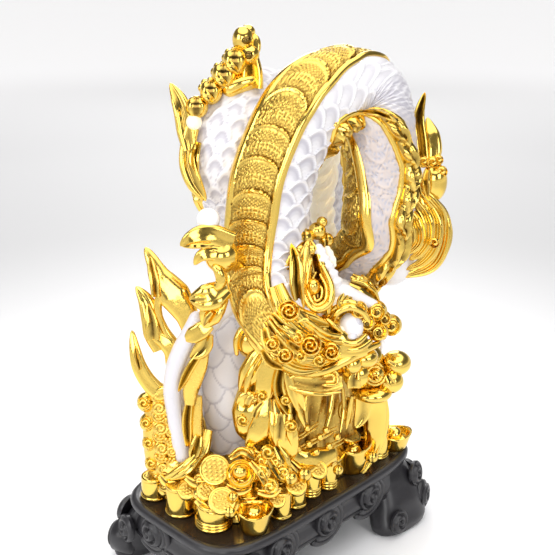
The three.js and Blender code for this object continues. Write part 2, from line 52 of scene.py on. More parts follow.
# The loop of the body. Each row: x, y, z, radius, degrees from TOWARDS_VIEW to the belly.
LOOP = [
    (0, -50, 238, 26, 39), (-26, -44, 250, 31, 39), (-31, -28, 268, 34, 39),
    (-25, -14, 286, 36, 38), (-19, -6, 307, 37, 36), (-13, -3, 337, 37.5, 33),
    (-8, -3, 369, 37.5, 29), (4, -7, 403, 37, 27), (20, -12, 430, 37, 27),
    (40, -17, 444, 36, 40), (64, -24, 450, 35, 68), (80, -30, 447, 34.5, 105),
    (89, -37, 436, 34, 185), (90, -43, 418, 33.5, 250), (90, -47, 400, 33, 267),
    (90, -50, 378, 33, 277), (88, -52, 355, 33, 287), (83, -53, 332, 33, 298),
    (84, -50, 308, 32, 306), (81, -36, 288, 30, 306), (78, -16, 266, 28, 302),
    (83, 4, 236, 27, 298), (97, 18, 190, 27, 298), (108, 24, 140, 27, 298),
    (108, 24, 96, 27, 298),
]
# Where the loop's petals run: distance along it, degrees from TOWARDS_VIEW, as the last column of LOOP.
PETAL_LINE = np.array([
    (0, 219), (150, 219), (200, 228), (222, 262), (240, 284), (284, 288), (302, 292), (318, 314),
    (328, 345), (337, 372), (355, 388), (377, 402), (401, 400), (424, 393), (449, 398), (480, 415),
    (560, 478), (700, 478),
], float)
# The rear body. Each row: x, y, z, radius. Its crest looks away from REAR_AXIS.
REAR = [
    (-33, 22, 90, 30), (-37, 22, 135, 30), (-39, 22, 173, 30), (-31, 24, 205, 30),
    (-14, 28, 232, 29), (4, 34, 256, 28), (11, 38, 284, 28), (4, 42, 316, 30),
    (-8, 44, 355, 32), (-17, 45, 385, 33), (-12, 45, 412, 32), (4, 46, 430, 31),
    (30, 48, 434, 29), (62, 50, 422, 28), (90, 50, 394, 28), (105, 50, 356, 28),
    (108, 48, 306, 27), (104, 44, 256, 26), (92, 42, 200, 25), (80, 42, 150, 24),
    (74, 42, 96, 24),
]
REAR_AXIS = np.array([45.0, 50.0, 300.0])
CORE = 0.8  # how far in the hidden inside of a skin lies, as a share of the body's radius
ROOT = 0.85  # the same for the foot of what stands on a body

PLINTH_LENGTH = 283.0
PLINTH_WIDTH = 165.0
PLINTH_TOP = 76.0
APRON_BOTTOM = 38.0
CURL_LEVEL = 55.0
HEAD_MIDDLE = -50.0
PEARL = (-80.0, 0.0, 351.0, 10.0)

CASTING = "dragon_and_treasure"
MILLIMETRE = 0.001  # in metres
METRE = 1000  # in millimetres

# The view that the small forms are laid out on: the eye, and the directions back to it, right and up.
EYE = np.array([-596.4, -599.6, 585.8])
BACK = np.array([-0.66446, -0.66446, 0.34202])
RIGHT = np.array([0.70711, -0.70711, 0.0])
UP = np.array([0.24184, 0.24184, 0.93969])
TOWARDS_VIEW = np.array([-0.664, -0.664, 0.342])
VIEW_MIDDLE = 277.5  # the middle of the view, which is 555 units across and down
VIEW_SCALE = 968  # units for each unit of slope
ZERO_NEARNESS = 900  # millimetres from the eye to where nearness is nought
CAMERA_AIM = (0.0016, -0.0016, 0.278)
CAMERA_LENS = 62.79

# The finishes of a mesh piece, in the order of its material slots.
GOLD, WHITE, FROSTED, CREAM = 0, 1, 2, 3


# Lines and skins

def curve_through(rows, samples=40):
    """A centripetal spline through rows of x, y, z and more: dense rows and length so far."""
    rows = np.asarray(rows, float)
    p = rows[:, :3]
    if len(p) == 2:
        t = np.linspace(0, 1, samples + 1)[:, None]
        dense = rows[0] * (1 - t) + rows[1] * t
    else:
        ends = np.vstack([2 * p[0] - p[1], p, 2 * p[-1] - p[-2]])
        t = np.linspace(0, 1, samples, endpoint=False)[:, None]
        parts = []
        for i in range(len(p) - 1):
            a, b, c, d = ends[i:i + 4]
            ta, tb, tc = (max(np.linalg.norm(gap), 1e-4) ** 0.5 for gap in (b - a, c - b, d - c))
            m0 = ((b - a) / ta - (c - a) / (ta + tb) + (c - b) / tb) * tb
            m1 = ((c - b) / tb - (d - b) / (tb + tc) + (d - c) / tc) * tb
            h = ((2 * t**3 - 3 * t**2 + 1) * b + (t**3 - 2 * t**2 + t) * m0
                 + (-2 * t**3 + 3 * t**2) * c + (t**3 - t**2) * m1)
            rest = rows[i, 3:] * (1 - t) + rows[i + 1, 3:] * t
            parts.append(np.hstack([h, rest]))
        dense = np.vstack(parts + [rows[-1:]])
    steps = np.linalg.norm(np.diff(dense[:, :3], axis=0), axis=1)
    return dense, np.concatenate([[0], np.cumsum(steps)])


def read_curve(dense, so_far, s):
    """Rows of the dense curve at the distances s, and the directions there."""
    near = 0.8
    rows = np.stack([np.interp(s, so_far, column) for column in dense.T], axis=1)
    ahead = np.stack([np.interp(s + near, so_far, column) - np.interp(s - near, so_far, column)
                      for column in dense.T[:3]], axis=1)
    return rows, unit(ahead)


def unit(v):
    return v / np.maximum(np.linalg.norm(v, axis=-1, keepdims=True), 1e-9)


def around(count):
    """Angles evenly round a full turn."""
    return np.arange(count) / count * 2 * math.pi


def spread(row, t):
    """Reads a short row of numbers evenly along t from 0 to 1."""
    return np.interp(np.clip(t, 0, 1), np.linspace(0, 1, len(row)), row)


def step(low, high, x):
    """A smooth rise from 0 at low to 1 at high."""
    t = np.clip((x - low) / (high - low), 0, 1)
    return t * t * (3 - 2 * t)


def bump(x, width):
    return np.exp(-(x / width) ** 2)


def wave_of(x):
    """A wave from 0 to 1, at 1 where x is 0."""
    return 0.5 + 0.5 * np.cos(x)


def swept(rows, side, out, across, up):
    """Rings of points round the rows, so far to the side and so far outwards."""
    return rows[:, None, :3] + side[:, None] * across[..., None] + out[:, None] * up[..., None]


def stood(x, y, z):
    """Rings of points from three arrays that fit together."""
    return np.stack(np.broadcast_arrays(x, y, z), axis=-1)


def lofted(rows, reach, turn):
    """Rings round rows of x, y, z, half length and half width, let out or drawn in by reach."""
    x, y, z, half_length, half_width = (column[:, None] for column in rows.T)
    return stood(x + half_length * reach * np.cos(turn), y + half_width * reach * np.sin(turn), z)


def squared(angle, power):
    """The cosine and sine of an angle, bent so that a circle becomes a rounded square."""
    return (np.sign(part) * np.abs(part) ** power for part in (np.cos(angle), np.sin(angle)))


class Carving:
    """Closed skins in millimetres, gathered into one mesh."""

    def __init__(self):
        self.points = []
        self.faces = {3: [], 4: []}
        self.finishes = {3: [], 4: []}
        self.values = {"depth": [], "warm": []}
        self.count = 0

    def tube(self, rings, finish=GOLD, depth=0.0, warm=0.0):
        """Rings (m, n, 3), closed round and at both ends. finish may be one for each column or quad."""
        m, n = rings.shape[:2]
        i = np.arange(m - 1)[:, None] * n
        j = np.arange(n)
        k = (j + 1) % n
        quads = np.stack([i + j, i + k, i + n + k, i + n + j], axis=-1).reshape(-1, 4)
        ends = np.concatenate([np.stack([np.full(n, m * n), k, j], axis=1),
                               np.stack([np.full(n, m * n + 1), (m - 1) * n + j, (m - 1) * n + k], axis=1)])
        points = np.vstack([rings.reshape(-1, 3), rings[0].mean(0), rings[-1].mean(0)])
        finish = np.broadcast_to(finish, (m - 1, n))
        volume = 0.0
        for a, b, c in (quads[:, :3].T, quads[:, [0, 2, 3]].T, ends.T):
            volume += np.einsum("ij,ij->i", points[a], np.cross(points[b], points[c])).sum()
        for faces, kinds in ((ends, np.concatenate([finish[0], finish[-1]])), (quads, finish.ravel())):
            self.faces[faces.shape[1]].append((faces[:, ::-1] if volume < 0 else faces) + self.count)
            self.finishes[faces.shape[1]].append(kinds)
        self.points.append(points)
        # The two values kept on the points are painted shade and painted warm shade, which the finishes mix
        # in as colour.
        for label, value in (("depth", depth), ("warm", warm)):
            self.values[label].append(np.append(np.broadcast_to(value, (m, n)), [0, 0]))
        self.count += len(points)

    def piece(self, name, looks):
        """The mesh object, in metres, with a crisp edge wherever two faces meet sharply."""
        crisp = math.radians(50)
        points = np.vstack(self.points) * MILLIMETRE
        faces = [np.vstack(self.faces[width]) for width in (3, 4)]
        finishes = np.concatenate([np.concatenate(self.finishes[width]) for width in (3, 4)])
        corners = np.concatenate([part.ravel() for part in faces])
        starts = np.concatenate([np.arange(len(faces[0])) * 3, faces[0].size + np.arange(len(faces[1])) * 4])
        mesh = bpy.data.meshes.new(name)
        mesh.vertices.add(len(points))
        mesh.vertices.foreach_set("co", points.astype(np.float32).ravel())
        mesh.loops.add(len(corners))
        mesh.loops.foreach_set("vertex_index", corners.astype(np.int32))
        mesh.polygons.add(len(starts))
        mesh.polygons.foreach_set("loop_start", starts.astype(np.int32))
        mesh.polygons.foreach_set("material_index", finishes.astype(np.int32))
        mesh.update(calc_edges=True)
        for label, values in self.values.items():
            layer = mesh.attributes.new(label, "FLOAT", "POINT")
            layer.data.foreach_set("value", np.concatenate(values).astype(np.float32))
        mesh.validate()
        for look in looks:
            mesh.materials.append(look)
        piece = bpy.data.objects.new(name, mesh)
        bpy.context.scene.collection.objects.link(piece)
        bpy.ops.object.select_all(action="DESELECT")
        piece.select_set(True)
        bpy.context.view_layer.objects.active = piece
        bpy.ops.object.shade_smooth_by_angle(angle=crisp)
        piece.select_set(False)
        return piece


def belongs(piece, node):
    """The piece stands for this solid and moves with the statue."""
    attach(piece, "root")
    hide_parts(node)


# Shapes in space

def ring_frames(ahead, face):
    """For every direction along a line: sideways, and outwards towards the face."""
    side = unit(np.cross(ahead, face))
    return side, unit(np.cross(side, ahead))


def carried_frames(ahead):
    """Frames that don't twist along a line."""
    normals = [unit(np.cross(ahead[0], (0.31, 0.52, 0.79)))]
    for direction in ahead[1:]:
        last = normals[-1]
        normals.append(unit(last - direction * last.dot(direction)))
    normals = np.array(normals)
    return normals, unit(np.cross(ahead, normals))


def plane_axes(out, up):
    out = unit(np.asarray(out, float))
    right = unit(np.cross(np.asarray(up, float), out))
    return out, right, np.cross(out, right)


def leaf(carving, points, width, thick, face=(0, -1, 0), widths=(0.7, 1, 1, 0.6), dish=0.35,
         grooves=0, finish=GOLD, steps=22, sides=20, blunt=0.0, dark=0.0):
    """A pointed leaf or flame along a curved line, its front hollowed between two soft rims."""
    dense, so_far = curve_through(points)
    t = np.linspace(0, 1, steps + 1)
    rows, ahead = read_curve(dense, so_far, t * so_far[-1])
    side, out = ring_frames(ahead, np.asarray(face, float))
    body, tip = 0.55, 0.45  # shares of the length
    taper = np.sqrt(np.clip(1 - np.clip((t - body) / tip, 0, 1) ** 2 * (1 - blunt), 0, 1))
    w = width / 2 * spread(widths, t) * taper
    h = thick / 2 * spread(widths, t) * np.maximum(taper, 0.15)
    c, n = np.cos(around(sides)), np.sin(around(sides))
    front = np.clip(n, 0, 1)
    ridges = np.cos(c * math.pi * 2 * grooves)
    lift = n - dish * 1.5 * front * bump(c, 0.5)
    # Painted shade: a dark stripe down the hollowed front, as strong as dark, and in the grooves.
    shadow = dark * bump(c, 0.42) * (n > 0.05) * step(0, 0.15, t)[:, None] * step(1.0, 0.85, t)[:, None]
    if grooves:
        lift += 0.10 * front * ridges
        shadow = shadow + 0.35 * front * (0.5 - 0.5 * ridges) ** 2
    carving.tube(swept(rows, side, out, w[:, None] * c, h[:, None] * lift), finish, np.clip(shadow, 0, 1))


def limb(carving, rows, sides=20, steps=10, finish=GOLD, knobs=0, knob=0.12, depth=0.0):
    """A round limb or rod, its radius in the fourth column, with soft knobs along it if asked."""
    dense, so_far = curve_through(rows)
    t = np.linspace(0, 1, max(steps * (len(rows) - 1), 8) + 1)
    read, ahead = read_curve(dense, so_far, t * so_far[-1])
    normal, across = carried_frames(ahead)
    r = read[:, 3] * (1 + knob * np.cos(t * knobs * 2 * math.pi) * (knobs > 0))
    close = np.minimum(t, 1 - t) * so_far[-1]
    r = r * np.sqrt(np.clip(1 - (1 - np.clip(close / read[:, 3], 0, 1)) ** 2, 0.02, 1))
    turn = around(sides)
    rings = swept(read, normal, across, r[:, None] * np.cos(turn), r[:, None] * np.sin(turn))
    carving.tube(rings, finish, depth)


def ball(carving, x, y, z, r, stretch=(1, 1, 1), slits=0, slit_axis=(0.707, -0.707, 0), finish=GOLD,
         sides=24, cut=0.09, dark=0.0):
    """A ball, or an egg where it is stretched, with a few slits across its front."""
    polar = np.linspace(0, math.pi, round(sides * 0.6) + 1)[1:-1][:, None]
    turn = around(sides)
    d = stood(np.sin(polar) * np.cos(turn), np.sin(polar) * np.sin(turn), np.cos(polar))
    reach = np.ones(d.shape[:2])
    facing = step(0.1, 0.5, d @ TOWARDS_VIEW)
    for k in range(slits):
        place = (k - (slits - 1) / 2) * 0.24
        reach -= cut * bump(d @ np.asarray(slit_axis, float) - place, 0.07) * facing
    rings = np.array([x, y, z]) + d * (reach * r)[..., None] * np.asarray(stretch, float)
    # Painted shade in the slits, and over the whole ball as strong as dark.
    carving.tube(rings, finish, np.clip((1 - reach) / cut + dark, 0, 1))


def volute(carving, centre, out, radius, height, turns=2.2, cut=0.16, finish=GOLD, hand=1, spin=0.0):
    """A curl: a domed button with a spiral groove cut into it."""
    out, right, top = plane_axes(out, (0, 0, 1))
    sides, rings, behind = 32, 14, 0.4
    q = np.linspace(1, 0, rings + 1)[:-1] ** 0.8
    turn = around(sides)
    spiral = wave_of(q[:, None] * turns * 2 * math.pi - hand * (turn + spin))
    inside = step(0.02, 0.25, 1 - q)[:, None]
    dome = np.sqrt(np.clip(1 - (q * 0.97) ** 2, 0, 1))[:, None]
    h = height * (dome - cut * spiral ** 2 * inside)
    flat = right * (q[:, None] * np.cos(turn))[..., None] + top * (q[:, None] * np.sin(turn))[..., None]
    centre = np.asarray(centre, float)
    face = centre + flat * radius + out * h[..., None]
    rear = centre + flat[:1] * radius * 0.96 - out * height * behind
    # Painted shade in the spiral groove.
    groove = np.concatenate([np.zeros((1, sides)), 0.5 * (spiral ** 3 * inside)])
    carving.tube(np.concatenate([rear, face]), finish, groove)


def lathe(carving, centre, profile, out=(0, 0, 1), up=(0, 1, 0), stretch=1.0, sides=36, lift=None):
    """A turned shape: profile rows of radius and height along out; lift(radius, turn, height) raises it."""
    out, right, top = plane_axes(out, up)
    turn = around(sides)
    r, level = (column[:, None] for column in np.asarray(profile, float).T)
    h = level * np.ones(sides)
    if lift is not None:
        h = h + lift(r, turn, level)
    carving.tube(np.asarray(centre, float) + right * (r * np.cos(turn))[..., None]
                 + top * (r * np.sin(turn) * stretch)[..., None] + out * h[..., None])


# The same shapes, laid out on the view: places are across, down and nearness in millimetres.

def sight(across, down):
    """The line from the eye through a place of the view."""
    return RIGHT * (across - VIEW_MIDDLE) / VIEW_SCALE - UP * (down - VIEW_MIDDLE) / VIEW_SCALE - BACK


def seen(*rows):
    """Rows of x, y, z and more, from rows of across, down, nearness and more."""
    rows = np.array(rows, float)
    return np.hstack([EYE + sight(rows[:, :1], rows[:, 1:2]) * (ZERO_NEARNESS - rows[:, 2:3]), rows[:, 3:]])


def seen_at_level(across, down, z):
    """Where the line of sight through a place of the view meets a height: x and y."""
    line = sight(across, down)
    return (EYE + line * (z - EYE[2]) / line[2])[:2]


def frond(carving, width, thick, *places, **more):
    leaf(carving, seen(*places), width, thick, BACK, **more)


def cord(carving, *places, **more):
    limb(carving, seen(*places), **more)


def bead(carving, across, down, near, r, *rest, **more):
    ball(carving, *seen((across, down, near))[0], r, *rest, **more)


def curl(carving, across, down, near, radius, height, turns=1.6, **more):
    volute(carving, seen((across, down, near))[0], BACK, radius, height, turns, **more)


def row_by_row(shape):
    """Makes many of a shape. Each row holds its arguments, and may end with a dict of its own options."""
    def shapes(carving, *rows, **shared):
        for row in rows:
            own = row[-1] if isinstance(row[-1], dict) else {}
            shape(carving, *(row[:-1] if own else row), **{**shared, **own})
    return shapes


def hollowed(carving, width, thick, dish, dark, *places, **more):
    """A leaf on the view, with its hollowing and shading before its places."""
    frond(carving, width, thick, *places, dish=dish, dark=dark, **more)


fronds, beads, curls, cords = (row_by_row(shape) for shape in (hollowed, bead, curl, cord))


# Carved patterns

def overlapping(a, b, width, pitch, tall):
    """Fish scales, tips towards +b: how far out in its own scale each place is, and its place there."""
    half = width / 2
    far, da, db = np.full(a.shape, 2.0), np.zeros(a.shape), np.zeros(a.shape)
    lowest = np.floor(b / pitch) - math.ceil(tall / pitch)
    open_yet = np.ones(a.shape, bool)
    for k in range(math.ceil(tall / pitch) + 2):
        row = lowest + k
        x = a - np.where(row % 2 == 0, 0.0, half)
        x = x - np.round(x / width) * width
        y = b - row * pitch
        reach = np.sqrt((x / (half * 1.04)) ** 2 + (np.maximum(y, 0) / tall) ** 2)
        inside = open_yet & (reach < 1) & (y > -0.01)
        for store, value in ((far, reach), (da, x), (db, y)):
            store[inside] = value[inside]
        open_yet &= ~inside
    far[far > 1] = 1.0
    return far, da, db


def flank_scales(a, b, width, pitch, tall, rim_width):
    """Overlapping scales, each a raised rim over a hollow crescent. Relief 0 to 1, and painted shade 0 to 1
    in the hollows, along the fine lines and round the scales' edges.
    """
    far, da, db = overlapping(a, b, width, pitch, tall)
    rim = bump(far - 1.0 + 1.4 * rim_width, rim_width)
    inside = step(1.0 - 2.2 * rim_width, 1.0 - 3.4 * rim_width, far)
    lines = wave_of(far * 40)
    spokes = wave_of(np.arctan2(db - 0.3 * tall, da + 1e-6) * 26)
    relief = (0.12 + 0.3 * db / tall + 0.75 * rim
              + inside * (0.08 * lines - 0.12 * spokes * step(0.5, 0.8, far)))
    hollow = inside * (0.9 * step(0.3, 0.8, far) + 0.15 * (1 - lines)) + 0.9 * bump(far - 1.0, 0.03)
    return relief, np.clip(hollow, 0, 1)


def column_scales(a, b, width, pitch, tall):
    """Flat scales told apart by thin cut lines, hatched finely inside: relief, and painted shade in the cut
    lines and faintly along the hatching.
    """
    far, _, db = overlapping(a, b, width, pitch, tall)
    cut = bump(far - 0.97, 0.04)
    hatch = wave_of(far * width * 1.7) ** 2
    relief = 0.25 * db / tall + 0.06 * hatch - 0.6 * cut
    return relief, np.clip(0.9 * cut + 0.04 * hatch, 0, 1)


def scutes(x, s, half, pitch, tall):
    """Overlapping belly plates across a band: relief 0 to 1, painted shade in the grooves and between the
    marks 0 to 1, and the rims.
    """
    edge = tall * np.sqrt(np.clip(1 - (x / half) ** 2, 0, 1)) + 0.12 * x
    level = (s - edge) / pitch
    row = np.floor(level)
    down = (1 - (level - row)) * pitch
    rim = bump(down - 1.1, 1.0) + 0.5 * bump(down - 3.9, 0.55)
    field = step(4.6, 5.6, down)
    u, v = x / half * 5, down / 3.6
    odd = (np.floor(u + 60) + np.floor(v) + row) % 2
    key = np.where(odd > 0, *(step(0.14, 0.26, np.abs((part % 1) - 0.5)) for part in (u, v)))
    dots = step(0.0, 0.5, np.sin(x * 1.1 + 3 * np.sin(row * 2.3)) * np.sin(down * 2.3 + row))
    upper = step(0.5, 0.54, down / pitch) * step(0.84, 0.8, down / pitch)
    mark = upper * key + (1 - upper) * dots
    relief = 1.0 * (1 - down / pitch) + 0.6 * rim + field * 0.34 * mark
    gap = bump(down - pitch, 1.5) + 0.5 * bump(down - 2.6, 0.5) + 0.75 * field * (1 - mark)
    return relief, np.clip(gap, 0, 1), rim


# Finishes

class Look:
    """A material and its nodes while it is being made."""

    def __init__(self, name):
        self.material = bpy.data.materials.new(name)
        self.material.use_nodes = True
        self.nodes = self.material.node_tree.nodes
        self.links = self.material.node_tree.links
        self.principled = self.nodes["Principled BSDF"]

    def node(self, kind, inputs, **values):
        """A new node with these links into its inputs, and these values in the others."""
        node = self.nodes.new(kind)
        for name, source in inputs.items():
            self.links.new(source, node.inputs[name])
        for name, value in values.items():
            node.inputs[name.replace("_", " ")].default_value = value
        return node

    def surface(self, **values):
        """Values, or the outputs of nodes, for the surface's own inputs."""
        for name, value in values.items():
            slot = self.principled.inputs[name.replace("_", " ")]
            if isinstance(value, bpy.types.NodeSocket):
                self.links.new(value, slot)
            else:
                slot.default_value = value

    def place(self):
        return self.node("ShaderNodeTexCoord", {}).outputs["Object"]

    def noise(self, scale, detail, where=None):
        return self.node("ShaderNodeTexNoise", {"Vector": where or self.place()}, Scale=scale,
                         Detail=detail).outputs["Fac"]

    def blend(self, amount, low, high):
        """A colour between two, by an amount from 0 to 1."""
        ramp = self.node("ShaderNodeValToRGB", {"Fac": amount})
        for element, colour in zip(ramp.color_ramp.elements, (low, high)):
            element.color = (*colour, 1)
        return ramp

    def shades(self, amount, colour, darker, lighter=1.0):
        """The colour between a darker and a lighter shade of it."""
        low, high = (tuple(c * by for c in colour) for by in (darker, lighter))
        return self.blend(amount, low, high).outputs["Color"]

    def painted(self, label, first, second):
        """From the first colour to the second, by a value stored over the surface: painted shade, or painted
        warm shade.
        """
        mix = self.nodes.new("ShaderNodeMix")
        mix.data_type = "RGBA"
        attribute = self.nodes.new("ShaderNodeAttribute")
        attribute.attribute_name = label
        colour_a, colour_b, colour_out = 6, 7, 2  # the sockets for colours among those of one name
        for slot, source in (("Factor", attribute.outputs["Fac"]), (colour_a, first), (colour_b, second)):
            self.links.new(source, mix.inputs[slot])
        return mix.outputs[colour_out]

    def scaled(self, value, low, high, start=0.3, end=0.7):
        return self.node("ShaderNodeMapRange", {"Value": value}, From_Min=start, From_Max=end, To_Min=low,
                         To_Max=high).outputs["Result"]

    def roughen(self, height, strength, distance):
        relief = self.node("ShaderNodeBump", {"Height": height}, Strength=strength, Distance=distance)
        self.surface(Normal=relief.outputs["Normal"])


def gold_look(name, roughness, grain, shade_colour=(0.2, 0.125, 0.03)):
    """Bright gold plating, a little redder and duller where painted shade is stored: the shade colour is
    painted into hollows and grooves.
    """
    look = Look(name)
    wear = look.noise(55, 3)
    warm = look.shades(wear, tuple(bpy.context.scene.dragon_finish.gold), 0.93)
    look.surface(Metallic=1.0, Base_Color=look.painted("depth", warm, look.shades(wear, shade_colour, 0.8)),
                 Roughness=look.scaled(look.noise(220, 4), roughness * 0.7, roughness * 1.5))
    look.roughen(look.noise(130, 3), grain, 0.0012)
    return look.material


def white_look(name, light, shade_colour, roughness=0.34, painted_glow=0.0):
    """Satin white glaze: painted lavender grey where painted shade is stored, a darker warm colour where
    painted warm shade is stored, and a painted glow in its own colour if asked.
    """
    look = Look(name)
    cloud = look.noise(30, 3)
    # Painted warm shade: a darker warm colour, mixed in by the stored warm value.
    warm_shade = look.blend(cloud, (0.66, 0.53, 0.45), (0.76, 0.65, 0.56)).outputs["Color"]
    glaze = look.painted("warm", look.shades(cloud, light, 0.95), warm_shade)
    # Painted shade: the grey shade colour, mixed in by the stored painted shade value.
    look.surface(Base_Color=look.painted("depth", glaze, look.shades(cloud, shade_colour, 0.85)),
                 Roughness=look.scaled(look.noise(300, 4), roughness * 0.8, roughness * 1.3),
                 Emission_Color=(*light, 1), Emission_Strength=painted_glow, Coat_Weight=0.25, Coat_Roughness=0.2)
    look.roughen(look.noise(700, 3), 0.12, 0.0006)
    return look.material


def black_look(name, colour, roughness, coat):
    """Black resin with a faint wood grain running along the plinth."""
    look = Look(name)
    along = look.node("ShaderNodeMapping", {"Vector": look.place()}, Scale=(6, 60, 60))
    grain = look.noise(3, 5, along.outputs["Vector"])
    look.surface(Base_Color=look.shades(grain, colour, 0.6, 1.3), Coat_Weight=coat, Coat_Roughness=0.12,
                 Roughness=look.scaled(grain, roughness * 0.8, roughness * 1.25))
    look.roughen(grain, 0.12, 0.0008)
    return look.material


def finishes():
    """The four finishes of the casting, made once."""
    made = bpy.data.materials
    if "bright gold" not in made:
        colours = bpy.context.scene.dragon_finish
        gold_look("bright gold", 0.13, 0.10)
        white_look("white glaze", tuple(colours.white), tuple(colours.hollow))
        gold_look("frosted gold", 0.28, 0.35, (0.3, 0.17, 0.03))
        # The cream glaze glows a little: painted light, though it is no lamp.
        white_look("cream glaze", (0.98, 0.9, 0.7), (0.75, 0.55, 0.3), 0.3, painted_glow=0.22)
    return [made[name] for name in ("bright gold", "white glaze", "frosted gold", "cream glaze")]


# The body

LOOP_LINE = curve_through(LOOP)
REAR_LINE = curve_through(REAR)
LOOP_LENGTH = LOOP_LINE[1][-1]
REAR_LENGTH = REAR_LINE[1][-1]


def loop_frames(s):
    rows, ahead = read_curve(*LOOP_LINE, s)
    every = np.arange(0, LOOP_LENGTH, 1.0)
    turn = np.pad(np.interp(every, LOOP_LINE[1], LOOP_LINE[0][:, 4]), 4, mode="edge")
    turn = np.convolve(turn, np.ones(9) / 9, mode="valid")
    turn = np.radians(np.interp(s, every, turn))
    side = unit(TOWARDS_VIEW - ahead * (ahead @ TOWARDS_VIEW)[:, None])
    outer = unit(np.cross(side, ahead))
    out = side * np.cos(turn)[:, None] + outer * np.sin(turn)[:, None]
    return rows, out, np.cross(ahead, out)


def rear_frames(s):
    rows, ahead = read_curve(*REAR_LINE, s)
    away = rows[:, :3] - REAR_AXIS
    away = np.stack([away[:, 0], -0.9 * away[:, 0], 0.6 * away[:, 2]], axis=1)
    out = unit(away - ahead * np.einsum("ij,ij->i", away, ahead)[:, None])
    return rows, out, np.cross(ahead, out)


def paced(*stretches):
    """Distances along a body in stretches of start, end and spacing, closest where the view comes near."""
    return np.concatenate([np.arange(*stretch) for stretch in stretches])


def skin_of(frames, s, degrees, reach):
    """Points of a body's surface at distances s, angles round it, and reach in millimetres."""
    angle = np.radians(degrees)
    return swept(*frames(s), reach * np.cos(angle), reach * np.sin(angle))


def radius_on(line):
    return lambda s: read_curve(*line, s)[0][:, 3]


LOOP_RADIUS = radius_on(LOOP_LINE)
REAR_RADIUS = radius_on(REAR_LINE)


def loop_band():
    """The gold belly band: overlapping plates between two smooth rails."""
    carving = Carving()
    s = paced((2, 330, 1.0), (330, LOOP_LENGTH - 2, 1.5))
    # Degrees from the middle of the belly: a rail, the plates, a rail.
    first, last = -25.2, 35.4
    rail = np.linspace(0, 1, 13)
    x = np.concatenate([-47 + 21 * rail, np.linspace(first, last, 75), 36 + 11 * rail[::2]])
    r = LOOP_RADIUS(s)[:, None]
    inner = ((x > -25.6) & (x < 35.7))[None, :]
    plates, gap, rim = scutes((x[None, :] - 5) * np.ones_like(s)[:, None], s[:, None] + 0 * x[None, :], 31.0,
                              25.0, 12.0)
    # Painted shadow along the inner edges of both rails, added to the painted shade in the plates' grooves.
    gap = np.maximum(gap, bump(x - first, 1.6)[None, :] + bump(x - last, 1.6)[None, :])
    rail = np.where(x < 0, 1 - ((x + 36.5) / 11.5) ** 2, 1 - ((x - 41.5) / 6.5) ** 2)
    rail = np.clip(rail, 0, 1)[None, :] ** 0.5
    reach = np.where(inner, r * 0.945 + 2.5 * plates, r * 0.965 + 3.2 * rail)
    hidden = np.array([40.0, 14.0, -14.0, -40.0])
    rings = np.concatenate([skin_of(loop_frames, s, x, reach),
                            skin_of(loop_frames, s, hidden, r * CORE * np.ones(4))], axis=1)
    depth = np.concatenate([np.where(inner, gap, 0), np.zeros((len(s), 4))], axis=1)
    frosted = np.where(inner & (rim < 0.5), FROSTED, GOLD)
    finish = np.concatenate([frosted, np.full((len(s), 4), GOLD)], axis=1)[1:]
    carving.tube(rings, finish, depth)
    return carving


def loop_flank(first, last, *stretches):
    """The white scaled side of the loop from one angle to another, at paced distances."""
    carving = Carving()
    s = paced(*stretches)
    girth = 36  # millimetres, the radius that the pattern is drawn at
    x = np.linspace(first, last, round(abs(last - first) * math.pi / 180 * girth / 1.2))
    r = LOOP_RADIUS(s)[:, None]
    a = np.abs(x)[None, :] * math.pi / 180 * girth - 33 + 0 * s[:, None]
    b = s[:, None] + 0 * a
    relief, hollow = flank_scales(a, b, 27.0, 12.0, 24.5, 0.06)
    # Over the top the scales fade into strokes, with painted shade between them, and past it, on the shaded
    # side, into small pits; there the glaze is painted darker and warmer as painted shade, darkest in the
    # pits.
    top = step(215, 265, b) * step(350, 325, b)
    shaded = step(325, 350, b) * step(500, 470, b)
    strokes_in = wave_of(b * 1.75 + 1.3 * np.sin(a * 0.22 + b * 0.05)) ** 2
    low = step(24, 52, a)
    pits = np.sin(b * 0.9 + 2.1 * np.sin(a * 0.5)) * np.sin(a * 0.8 + 1.7 * np.sin(b * 0.37))
    pits = np.clip(pits - 0.35, 0, 1)
    plain = top * (0.3 + 0.35 * low)
    relief = relief * (1 - plain) * (1 - 0.55 * shaded) + top * low * 0.5 * strokes_in - 0.9 * shaded * pits
    hollow = (hollow * (1 - top * 0.5) * (1 - 0.7 * shaded) + 0.8 * top * low * (1 - strokes_in)
              + shaded * (0.3 + 1.6 * pits))
    edge = step(44.5, 49, np.abs(x))[None, :]
    # Painted warm shade: all over the shaded side, and in a strip along the edge beside the band.
    warm = 1.0 * shaded + 0.6 * bump(np.abs(x)[None, :] - 46, 4) * (1 - top)
    outside = skin_of(loop_frames, s, x, r * 0.968 + 2.4 * relief * edge)
    inside = skin_of(loop_frames, s, np.linspace(last, first, 5), r * CORE * np.ones(5))
    spare = np.zeros((len(s), 5))
    carving.tube(np.concatenate([outside, inside], axis=1), WHITE,
                 np.concatenate([hollow * edge, spare], axis=1),
                 np.concatenate([warm, spare], axis=1))
    return carving


